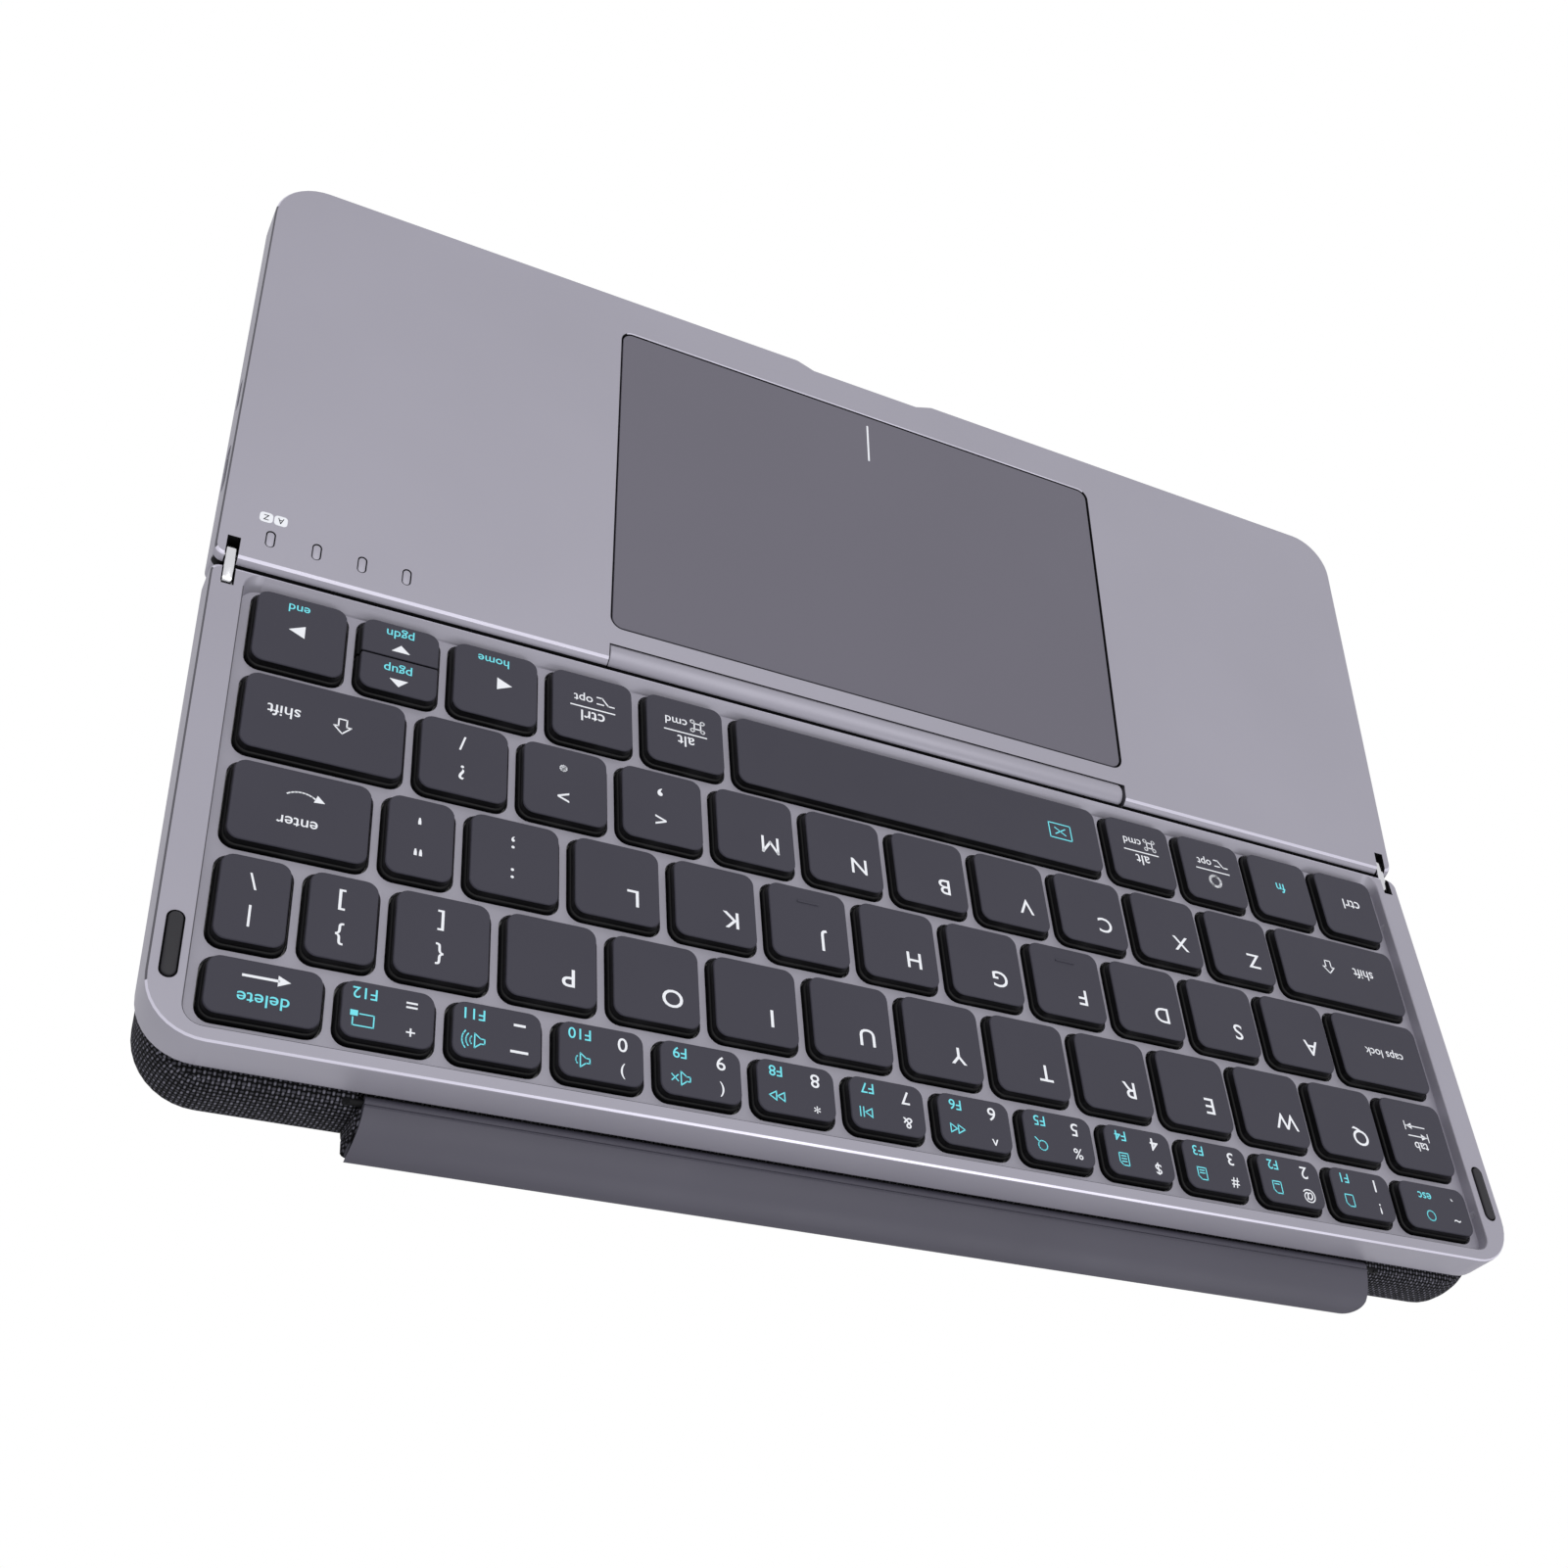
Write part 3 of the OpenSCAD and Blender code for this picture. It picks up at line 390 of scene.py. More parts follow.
class Shader:
    """One material's node tree around a Principled shader."""

    def __init__(self, name, base, roughness, metallic=0.0, **more):
        self.mat = bpy.data.materials.new(name)
        self.mat.use_nodes = True
        self.tree = self.mat.node_tree
        self.bsdf = next(n for n in self.tree.nodes if n.type == "BSDF_PRINCIPLED")
        self.set("Base Color", base)
        self.set("Roughness", roughness)
        self.set("Metallic", metallic)
        for k, v in more.items():
            self.set(k.replace("_", " "), v)
        self.coord = self.node("ShaderNodeTexCoord")

    def node(self, kind, **props):
        n = self.tree.nodes.new(kind)
        for k, v in props.items():
            setattr(n, k, v)
        return n

    def set(self, name, value):
        feed(self.tree, self.bsdf.inputs[name], value)

    def noise(self, scale, detail):
        n = self.node("ShaderNodeTexNoise")
        n.inputs["Scale"].default_value = scale
        n.inputs["Detail"].default_value = detail
        self.tree.links.new(self.coord.outputs["Object"], n.inputs["Vector"])
        return Sock(self.tree, n.outputs[0])

    def mix(self, factor, a, b):
        n = self.node("ShaderNodeMix", data_type="RGBA")
        for i, v in ((0, factor), (6, a), (7, b)):
            feed(self.tree, n.inputs[i], v)
        return Sock(self.tree, n.outputs[2])

    def ramp(self, value, lo, hi, out_lo=0.0, out_hi=1.0):
        n = self.node("ShaderNodeMapRange")
        self.tree.links.new(value.out, n.inputs[0])
        for i, v in enumerate((lo, hi, out_lo, out_hi)):
            n.inputs[i + 1].default_value = v
        return Sock(self.tree, n.outputs[0])

    def bump(self, height, strength, distance):
        n = self.node("ShaderNodeBump")
        n.inputs["Strength"].default_value = strength
        n.inputs["Distance"].default_value = distance
        self.tree.links.new(height.out, n.inputs["Height"])
        self.set("Normal", Sock(self.tree, n.outputs[0]))

    def uv(self):
        s = self.node("ShaderNodeSeparateXYZ")
        self.tree.links.new(self.coord.outputs["UV"], s.inputs[0])
        return Sock(self.tree, s.outputs[0]), Sock(self.tree, s.outputs[1])


def shift(color, by):
    """A colour made lighter or darker."""
    return tuple(min(1.0, c * by) for c in color[:3]) + (1.0,)


def grained(name, color, rough, metallic, spread=0.04, grain=3200.0, depth=6e-6, strength=0.25, **more):
    """A surface with slow tone changes, fine grain in its bump, and roughness that follows handling."""
    s = Shader(name, color, rough, metallic, **more)
    slow = s.noise(26.0, 2.0)
    s.set("Base Color", s.mix(s.ramp(slow, 0.3, 0.7), shift(color, 1 - spread), shift(color, 1 + spread)))
    s.set("Roughness", s.ramp(s.noise(70.0, 4.0), 0.25, 0.75, rough - 0.05, rough + 0.05))
    s.bump(s.noise(grain, 2.0), strength, depth)
    return s.mat


def woven(name, dark, light, pitch):
    """Basket weave over UV in metres: two sets of threads, the crowns of one set lighter, partly as the lighter
    yarn and partly as painted highlight, the hollows between threads darker as painted shade.
    """
    s = Shader(name, dark, 0.92, 0.0, Specular_IOR_Level=0.15)
    u, v = s.uv()
    u, v = u * (1 / pitch), v * (1 / pitch)
    fu, fv = u.math("FRACT"), v.math("FRACT")
    parity = ((u.math("FLOOR") + v.math("FLOOR")) * 0.5).math("FRACT") * 2.0
    su, sv = (fu * math.pi).math("SINE"), (fv * math.pi).math("SINE")
    even, odd = sv * (su * 0.5 + 0.5), su * (sv * 0.5 + 0.5)
    height = even + (odd - even) * parity
    fleck = s.ramp(s.noise(900.0, 2.0), 0.35, 0.65, 0.75, 1.0)
    # Crowns lighter with the threads' height: the lighter yarn together with a painted highlight.
    crown = s.ramp(height * fleck, 0.4, 0.85) * (parity * 0.6 + 0.4)
    # Hollows between the threads darkened to a fifth: painted shade.
    s.set("Base Color", s.mix(crown, s.mix(s.ramp(height, 0.1, 0.9), shift(dark, 0.2), dark), light))
    s.bump(height + s.noise(2600.0, 3.0) * 0.25, 0.9, 0.00022)
    return s.mat


MATS = {}


def make_materials(p):
    """All materials, from the colours of the panel."""
    case, pad, cap, flap = (lin(*(c * 255 for c in color)) for color in (
        p.case_color, p.pad_color, p.key_color, p.flap_color))
    MATS.update(
        case=grained("case_anodised", case, 0.42, 0.3, spread=0.02),
        # painted highlight on the case's top chamfer and on the far edge of the touchpad opening
        bright=grained("case_painted_highlight", shift(case, 1.9), 0.3, 0.3, spread=0.01),
        # painted shade on the case's chamfer along +X, the key well's walls and the barrel's notch
        shade=grained("case_painted_shade", shift(case, 0.3), 0.5, 0.2, spread=0.02),
        pad=grained("touchpad_glass", pad, 0.42, 0.0, spread=0.015, strength=0.12,
                    Specular_IOR_Level=0.35),
        cap=grained("keycap_plastic", cap, 0.55, 0.0, spread=0.03, grain=5200.0, strength=0.3,
                    Specular_IOR_Level=0.3),
        skirt=grained("keycap_skirt", lin(7, 7, 8), 0.4, 0.0, spread=0.05, Specular_IOR_Level=0.2),
        white=grained("legend_white", lin(236, 238, 242), 0.5, 0.0, spread=0.01),
        cyan=grained("legend_cyan", lin(112, 226, 236), 0.5, 0.0, spread=0.01),
        flap=grained("flap_coated", flap, 0.52, 0.15, strength=0.3),
        fabric=woven("cover_weave", lin(13, 13, 17), lin(112, 111, 121), 0.00068),
        chrome=grained("link_chrome", (0.86, 0.86, 0.88, 1), 0.16, 1.0, spread=0.02, strength=0.08),
        rubber=grained("pad_rubber", lin(30, 29, 34), 0.6, 0.0, spread=0.08, strength=0.5),
        window=grained("indicator_window", shift(case, 1.08), 0.4, 0.2),
        # near black: the badge's signs and the switch body, and painted shade in the case halves' gaps, slots
        # and openings and on the flap rod
        dark=grained("black_and_painted_shade", lin(13, 13, 15), 0.6, 0.0, Specular_IOR_Level=0.2),
        board=grained("circuit_board", (0.02, 0.11, 0.05, 1), 0.45, 0.0, spread=0.12),
        ribbon=grained("flex_film", (0.35, 0.16, 0.04, 1), 0.35, 0.0),
        metal=grained("spring_steel", (0.55, 0.55, 0.57, 1), 0.3, 1.0),
        foil=grained("cell_foil", (0.55, 0.56, 0.58, 1), 0.4, 0.7),
        clear=grained("silicone", (0.6, 0.6, 0.58, 1), 0.5, 0.0),
    )


# CAD nodes that stay, by their material.
SHOWN_NODES = {
    "case": ("touchpad_case_bottom", "keys_case_bottom"),
    "board": ("main_board", "sensor_board"),
    "foil": ("battery",),
    "metal": ("charging_socket", "click_dome", "touchpad_magnets", "keys_magnets", "key_plate"),
    # The flap rod is dressed near black as painted shade, to pass as the shade under the keys half.
    "dark": ("power_switch_body", "flap_rod"),
    "flap": ("power_slider",),
    "rubber": ("rubber_feet",),
    "chrome": ("touchpad_hinge_pins", "keys_hinge_pins"),
    "ribbon": ("flex_ribbon",),
    "clear": ("key_supports", "key_domes", "key_membrane"),
}


def dress(node, mat):
    """Gives a shown CAD node its material."""
    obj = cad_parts[node]
    for s in obj.material_slots:
        s.material = MATS[mat]
    if not obj.material_slots:
        obj.data.materials.append(MATS[mat])


def ship(obj, body, slot, *nodes):
    """Says what a piece rides on and which CAD nodes it stands for; the finish given as slot is not used."""
    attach(obj, body)
    if nodes:
        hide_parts(*nodes)
    return obj


# ---- legends ----

# Material slots of a key's marks.
WHITE, CYAN = 2, 3

_glyphs = {}


def glyph(text):
    """A word's triangles in a unit where a capital letter is 1 high, centred on its own box in X."""
    if text not in _glyphs:
        cu = bpy.data.curves.new("glyph", "FONT")
        cu.body = text
        cu.size = 1.0
        cu.resolution_u = 4
        cu.offset = 0.005
        ob = bpy.data.objects.new("glyph", cu)
        bpy.context.scene.collection.objects.link(ob)
        bpy.context.view_layer.update()
        me = bpy.data.meshes.new_from_object(ob.evaluated_get(bpy.context.evaluated_depsgraph_get()))
        pts = [v.co.copy() for v in me.vertices]
        polys = [tuple(p.vertices) for p in me.polygons]
        bpy.data.objects.remove(ob)
        bpy.data.curves.remove(cu)
        bpy.data.meshes.remove(me)
        cx = (min(p.x for p in pts) + max(p.x for p in pts)) / 2
        lo, hi = min(p.y for p in pts), max(p.y for p in pts)
        _glyphs[text] = ([(p.x - cx, p.y) for p in pts], polys, lo, hi)
    return _glyphs[text]


class Pen:
    """Draws thin marks just above a key's top face, in the key's own millimetres."""

    LIFT = 0.03  # height over the top face
    GROW = 1.14  # share by which words are drawn larger than asked
    CAPITAL, MID_CAPITAL = 0.73, 0.365  # the font's capital height and half of it
    M_SHAPE = ((-0.85, -0.9), (-0.85, 0.9), (0, -0.35), (0.85, 0.9), (0.85, -0.9))

    def __init__(self, bm, x0, x1, y0, y1):
        self.bm, self.x0, self.y0, self.w, self.d = bm, x0, y0, x1 - x0, y1 - y0

    def at(self, fx, fy):
        """A place as shares of the key's width and depth."""
        return self.x0 + fx * self.w, self.y0 + fy * self.d

    def face(self, pts, ink):
        face_up(self.bm, [on_keys(x, y, CAP_TOP + self.LIFT) for x, y in pts], ink)

    def word(self, text, cx, cy, cap, ink=WHITE, wide=1.0, middle=True):
        """A word with its capital height, about its own middle or about that of a capital letter."""
        if text == "M":  # the font's own outline crosses itself when it is thickened
            h = cap * self.GROW / 2
            self.line([(cx + x * h, cy + y * h) for x, y in self.M_SHAPE], 0.28 * h, ink)
            return
        pts, polys, lo, hi = glyph(text)
        k = cap / self.CAPITAL * self.GROW
        mid = (lo + hi) / 2 if middle else self.MID_CAPITAL
        at = [(cx + x * k * wide, cy + (y - mid) * k) for x, y in pts]
        for p in polys:
            self.face([at[i] for i in p], ink)

    def line(self, pts, width=0.22, ink=WHITE, loop=False):
        pts = list(pts) + ([pts[0]] if loop else [])
        for a, b in zip(pts, pts[1:]):
            self.face(stroke(a, b, width / 2), ink)

    def shape(self, cx, cy, pts, width=0.22, ink=WHITE, loop=False):
        """Lines through points about a centre."""
        self.line([(cx + x, cy + y) for x, y in pts], width, ink, loop)

    def arc(self, cx, cy, r, a0=0, a1=360, width=0.2, ink=WHITE, n=10):
        self.line([polar(cx, cy, r, a0 + (a1 - a0) * i / n) for i in range(n + 1)], width, ink)

    def tri(self, cx, cy, size, angle):
        self.face([polar(cx, cy, size, angle + a) for a in (0, 128, 232)], WHITE)


# Cyan signs of the function keys, as closed loops and open lines about the sign's centre.
SPEAKER = ((-1.6, -0.4), (-1.0, -0.4), (-0.1, -1.15), (-0.1, 1.15), (-1.0, 0.4), (-1.6, 0.4))
PAGE = ((-0.9, -1.1), (0.9, -1.1), (0.9, 0.5), (0.3, 1.1), (-0.9, 1.1))
FN_LOOPS = {
    **{n: (PAGE,) for n in (1, 2, 3, 4)},
    6: (((-1.3, 0.0), (-0.1, 0.75), (-0.1, -0.75)), ((0.1, 0.0), (1.3, 0.75), (1.3, -0.75))),
    7: (((0.7, 0.0), (-0.5, 0.75), (-0.5, -0.75)),),
    8: (((-0.1, 0.0), (-1.3, 0.75), (-1.3, -0.75)), ((1.3, 0.0), (0.1, 0.75), (0.1, -0.75))),
    **{n: (SPEAKER,) for n in (9, 10, 11)},
}
FN_LINES = {
    **{n: [((-0.45, -0.6 + 0.5 * i), (0.45, -0.6 + 0.5 * i)) for i in range(n - 1)] for n in (1, 2, 3, 4)},
    5: (((0.6, -0.4), (1.3, -1.1)),),
    7: (((1.0, -0.8), (1.0, 0.8)), ((1.6, -0.8), (1.6, 0.8))),
    9: (((0.4, -0.5), (1.4, 0.5)), ((0.4, 0.5), (1.4, -0.5))),
    12: (((1.5, -0.2), (1.5, 1.0), (-1.5, 1.0), (-1.5, -0.9), (0.5, -0.9)),),
}
WAVES = {10: (0.9,), 11: (0.9, 1.5, 2.1)}
FN_PEN = 0.2


def fn_icon(pen, number, cx, cy):
    """The small cyan sign of a function key."""
    for pts in FN_LOOPS.get(number, ()):
        pen.shape(cx, cy, pts, FN_PEN, CYAN, True)
    for pts in FN_LINES.get(number, ()):
        pen.shape(cx, cy, pts, FN_PEN, CYAN)
    for r in WAVES.get(number, ()):
        pen.arc(cx - 0.3, cy, r, -40, 40, FN_PEN, CYAN, 6)
    if number == 5:
        pen.arc(cx, cy + 0.2, 0.85, width=FN_PEN, ink=CYAN, n=14)
    elif number == 12:
        pen.face([(cx + x, cy + y) for x, y in ((0.8, -1.4), (1.9, -1.4), (1.9, -0.5), (0.8, -0.5))], CYAN)


def two_deck(pen, above, below):
    """A word, or a plain ring without one, over a line over a small sign and a word."""
    cx, cy = pen.at(0.5, 0.5)
    if above:
        pen.word(above, cx, cy + 1.75, 2.1)
    else:
        pen.arc(cx, cy + 2.3, 1.25, width=0.5, n=18)
    pen.shape(cx, cy, ((-3.9, -0.1), (3.9, -0.1)), 0.26)
    pen.word(below, cx + 1.7, cy - 2.2, 1.6)
    mx, my = cx - 2.3, cy - 2.2
    if below == "cmd":
        pen.shape(mx, my, ((-0.6, -0.6), (0.6, -0.6), (0.6, 0.6), (-0.6, 0.6)), 0.24, loop=True)
        for sx in (-1, 1):
            for sy in (-1, 1):
                pen.arc(mx + sx * 0.95, my + sy * 0.95, 0.36, width=0.22, n=8)
    else:
        pen.shape(mx, my, ((-1.5, 0.7), (-0.5, 0.7), (0.6, -0.7), (1.5, -0.7)), 0.26)
        pen.shape(mx, my, ((0.4, 0.7), (1.5, 0.7)), 0.26)


def number_legend(pen, shifted, plain, number):
    """A key of the number row: its two characters, its function sign and its F number."""
    x, y = pen.at(0.25, 0.76)
    if shifted in "_-=":
        pen.shape(x, y, ((-1.15, 0), (1.15, 0)), 0.42)
    else:
        pen.word(shifted, x, y + {"^": 0.3, "*": 0.2}.get(shifted, 0.0), 1.75, middle=shifted not in "^*")
    x, y = pen.at(0.25, 0.27)
    if plain == "-":
        pen.shape(x, y, ((-0.7, 0), (0.7, 0)), 0.42)
    else:
        pen.word(plain, x, y, 2.1, wide=1.05)
    fn_icon(pen, number, *pen.at(0.765, 0.69))
    pen.word("F%d" % number, *pen.at(0.765, 0.21), 1.65, CYAN)


NUMBER_ROW = "1234567890-="
SIGN_SIZES = {",": 4.0, "'": 3.0, '"': 2.9}
TWO_DECKS = {"alt": ("alt", "cmd"), "ctrl_opt": ("ctrl", "opt"), "system": ("", "opt")}
SPACE_SIGN_X = -36.7
SHIFT_ARROW = ((0, 1.5), (1.35, 0.1), (0.65, 0.1), (0.65, -1.3), (-0.65, -1.3), (-0.65, 0.1), (-1.35, 0.1))

# Words of the other keys: text, its place as shares of the key's top, capital height, ink, width.
WORDS = {
    "ctrl": (("ctrl", 0.44, 0.46, 2.15, WHITE, 1),),
    "fn": (("fn", 0.52, 0.48, 2.0, CYAN, 1),),
    "caps": (("caps lock", 0.46, 0.5, 1.6, WHITE, 1),),
    "shift_left": (("shift", 0.3, 0.46, 1.95, WHITE, 1),),
    "shift_right": (("shift", 0.757, 0.46, 1.95, WHITE, 1),),
    "enter": (("enter", 0.52, 0.66, 1.8, WHITE, 1),),
    "delete": (("delete", 0.5, 0.68, 1.78, CYAN, 1.06),),
    "esc": (("~", 0.22, 0.72, 1.8, WHITE, 1), ("`", 0.22, 0.26, 1.9, WHITE, 1),
            ("esc", 0.64, 0.26, 1.6, CYAN, 1)),
    "left": (("home", 0.54, 0.16, 1.55, CYAN, 1),),
    "right": (("end", 0.54, 0.16, 1.55, CYAN, 1),),
    "up": (("pgup", 0.52, 0.27, 1.6, CYAN, 1),),
    "down": (("pgdn", 0.52, 0.27, 1.6, CYAN, 1),),
}


def key_sign(pen, legend):
    """The drawn sign of a key that has one besides its word."""
    x, y = pen.at(0.5, 0.5)
    if legend in ("shift_left", "shift_right"):
        x, y = pen.at(0.6 if legend == "shift_left" else 0.39, 0.46)
        pen.shape(x, y, SHIFT_ARROW, 0.24, loop=True)
    elif legend == "enter":
        x, y = pen.at(0.52, 0.34)
        pen.arc(x - 0.2, y + 2.6, 3.6, 235, 305, 0.24, n=8)
        pen.tri(x - 2.9, y - 0.2, 0.95, 160)
    elif legend == "delete":
        x, y = pen.at(0.5, 0.28)
        pen.shape(x, y, ((-1.8, 0), (3.0, 0)), 0.42)
        pen.tri(x - 2.4, y, 1.1, 180)
    elif legend == "tab":
        pen.word("tab", x - 0.3, y + 2.2, 1.7)
        for s, dy in ((1, 0.1), (-1, -1.9)):
            pen.shape(x, y + dy, ((-2.2, 0), (2.2, 0)))
            pen.tri(x + 1.4 * -s, y + dy, 0.8, 180 if s > 0 else 0)
            pen.shape(x - 2.5 * s, y + dy, ((0, -0.8), (0, 0.8)))
    elif legend == "esc":
        pen.arc(*pen.at(0.62, 0.7), 0.95, width=0.22, ink=CYAN, n=16)
    elif legend in ("left", "right"):
        pen.tri(*pen.at(0.42 if legend == "left" else 0.52, 0.48), 1.6, 180 if legend == "left" else 0)
    elif legend in ("up", "down"):
        x, y = pen.at(0.5, 0.72)
        tip = 0.75 if legend == "up" else -0.75
        pen.face([(x - 1.55, y - tip), (x + 1.55, y - tip), (x, y + tip)], WHITE)
    elif legend == "space":
        x = SPACE_SIGN_X
        pen.shape(x, y, ((-2.4, -1.7), (2.4, -1.7), (2.4, 1.7), (-2.4, 1.7)), 0.24, CYAN, True)
        for s in (1, -1):
            pen.shape(x, y, ((-1.1, -0.7 * s), (1.1, 0.7 * s)), 0.24, CYAN)


def draw_legend(pen, legend):
    """All marks of one key."""
    if len(legend) == 1:
        pen.word(legend, *pen.at(0.32, 0.68), 2.85, wide=1.05)
    elif len(legend) == 2 and legend[1] in NUMBER_ROW:
        number_legend(pen, *legend, NUMBER_ROW.index(legend[1]) + 1)
    elif len(legend) == 3 and legend[1] == " ":
        for mark, fy in ((legend[0], 0.7), (legend[2], 0.29)):
            x, y = pen.at(0.53, fy)
            if mark == ".":
                pen.arc(x, y, 0.3, width=0.6)
            else:
                pen.word(mark, x, y, SIGN_SIZES.get(mark, 2.5), wide=1.05)
    elif legend in TWO_DECKS:
        two_deck(pen, *TWO_DECKS[legend])
    else:
        for text, fx, fy, cap, ink, wide in WORDS.get(legend, ()):
            pen.word(text, *pen.at(fx, fy), cap, ink, wide)
        key_sign(pen, legend)


# ---- pieces ----


# A keycap's side from its lower edge up: growth past the top face, height, corner radius.
CAP_PROFILE = (
    (0.55, 0.0, 2.3), (0.55, 1.1, 2.3), (0.5, 1.28, 2.25), (0.36, 1.38, 2.1), (0.2, 1.44, 2.0),
    (0.15, 1.6, 1.95), (0.12, 2.3, 1.95), (0.08, 2.55, 1.92), (0.03, 2.68, 1.88), (-0.02, 2.76, 1.86),
    (-0.09, CAP_H, 1.8),
)
SKIRT_BANDS = 9  # bands of faces in the dark skirt, with the inside
# The bar on F and J, from the key's middle, front edge and top.
HOME_BAR = ((-2.0, 2.0), (2.6, 3.0), (-0.05, 0.18))


def keycap(bm, x0, x1, y0, y1, front, rear):
    """One hollow keycap: dark skirt, rounded shoulder, thin bevel, flat top."""
    base = CAP_TOP - CAP_H
    rings = [ring(base + z, x0 + CAP_WALL, x1 - CAP_WALL, y0 + CAP_WALL, y1 - CAP_WALL, 1.0)
             for z in (CAP_H - CAP_ROOF, 0.0)]
    for grow, z, r in CAP_PROFILE:
        f, b = min(front, grow) if grow > 0 else grow, min(rear, grow) if grow > 0 else grow
        radii = (r if front else SPLIT_R, r if rear else SPLIT_R)
        rings.append(ring(base + z, x0 - grow, x1 + grow, y0 - f, y1 + b, radii))
    faces = loft(bm, rings, on_keys)
    for f in faces[: SKIRT_BANDS * len(rings[0])]:
        f.material_index = 1


def build_keys():
    """Caps and marks of each key node."""
    by_node = {}
    for key in key_faces():
        by_node.setdefault(key[0], []).append(key)
    for node, keys in by_node.items():
        caps, marks = bmesh.new(), bmesh.new()
        for _, legend, x0, x1, y0, y1, front, rear in keys:
            keycap(caps, x0, x1, y0, y1, front, rear)
            if legend in ("F", "J"):
                x, (bar_x, bar_y, bar_z) = (x0 + x1) / 2, HOME_BAR
                slab(caps, x + bar_x[0], x + bar_x[1], y0 + bar_y[0], y0 + bar_y[1], CAP_TOP + bar_z[0],
                     CAP_TOP + bar_z[1], 0.15, on_keys, 0.1, 2, 2, False)
            draw_legend(Pen(marks, x0, x1, y0, y1), legend)
        body, inks = "body_" + node, [MATS[m] for m in ("cap", "skirt", "white", "cyan")]
        ship(new_object(node + "_caps", caps, inks[:2], flat_above=60.0, angle=50.0), body, "keycaps", node)
        ship(new_object(node + "_marks", marks, inks, fix=False), body, "keycaps")


# Steps of a case half's rounded lower edge, and height of its wall's bands above the pivot.
LOW_STEPS, WALL_STEP = 5, 0.27


def case_levels(floor):
    """(height, inset) pairs up a case wall with a rounded lower edge and a narrow chamfer at the top."""
    start = PIVOT - 1.9 * CASE_CHAMFER
    high = [(start, 0.0), (PIVOT - CASE_CHAMFER, 0.1 * CASE_CHAMFER), (PIVOT, CASE_CHAMFER)]
    z, mid = 0.0, []
    while z < start - 0.2:
        mid.append((z, 0.0))
        z += WALL_STEP
    return rounded(floor, CASE_LOW_R, LOW_STEPS) + mid + high


def case_shell(name, floor, rear, place):
    """A case half: rounded free edges, and a hinge edge rounded about its pivot."""
    rings = []
    for z, ins in case_levels(floor):
        lead = -HINGE_R if z <= 0 else -math.sqrt(HINGE_R ** 2 - z * z)
        if z < 0:
            lead += ins
        radii = (max(HINGE_CORNER_R - ins * 0.5, 0.3), CORNER_R - ins)
        rings.append(ring(z, -CASE_W / 2 + ins, CASE_W / 2 - ins, lead, rear - ins, radii, 10))
    bm = bmesh.new()
    faces = loft(bm, rings, place)
    n = len(rings[0])
    # The top chamfer is painted: a painted highlight all round and painted shade along the +X side.
    top = n * (len(rings) - 1)
    for f in faces[top - n: top]:
        f.material_index = SHADE if f.calc_center_median().x > (CASE_W / 2 - CASE_CHAMFER) * MM else PAINTED_HIGHLIGHT
    # Faces of the rounded hinge edge near the pivot take near-black painted shade, for the gap between the
    # halves.
    for f in faces[n * LOW_STEPS: top]:
        z = f.calc_center_median().z / MM - (PIVOT_Z if place is on_touch else PIVOT_Z + K_OFF[1])
        if nose_face(f, place) and NOSE_LOW < z < NOSE_SHADE_TOP:
            f.material_index = GAP_SHADE
    return new_object(name, bm, [MATS[m] for m in CASE_SLOTS])


def nose_face(f, place):
    """Whether a face of a case body lies on its rounded hinge edge."""
    y = f.calc_center_median().y / MM - PIVOT_Y
    return y > NOSE_REACH if place is on_touch else y < K_OFF[0] - NOSE_REACH


def link_cutters(place):
    """Slots for both links, open upwards and towards the other half."""
    r = LINK_TOP + LINK_CLEAR
    half = LINK_T / 2 + LINK_CLEAR
    out = bmesh.new()
    for x in (-LINK_X, LINK_X):
        plan = ((x + half, r), (x - half, r), (x - half, -SLOT_REACH), (x + half, -SLOT_REACH))
        # Walls of the slots take near-black painted shade.
        loft(out, [[(a, b, z) for a, b in plan] for z in (-LINK_R - LINK_CLEAR, SLOT_REACH)], place,
             material=GAP_SHADE)
    return out


def side_cutter(o, w, h, r):
    """A rounded hole through the +X side wall."""
    bm = bmesh.new()
    z = FOOT + TOUCH_T / 2 - PIVOT_Z
    section = [(o + a, z + b) for a, b in outline(-w / 2, w / 2, -h / 2, h / 2, r)]
    rail(bm, section, CASE_W / 2 - WALL - 1, CASE_W / 2 + 2, on_touch)
    return bm


def window_slabs(bm, gap, z0, z1, **more):
    """All indicator windows, smaller by a gap, from the +X side."""
    w, d = WINDOW_W / 2 - gap, WINDOW_L / 2 - gap
    for i in range(WINDOW_N):
        x = CASE_W / 2 - WINDOW_INSET - i * WINDOW_PITCH
        slab(bm, x - w, x + w, WINDOW_O - d, WINDOW_O + d, z0, z1, w - 0.01, on_touch, seg=8, **more)


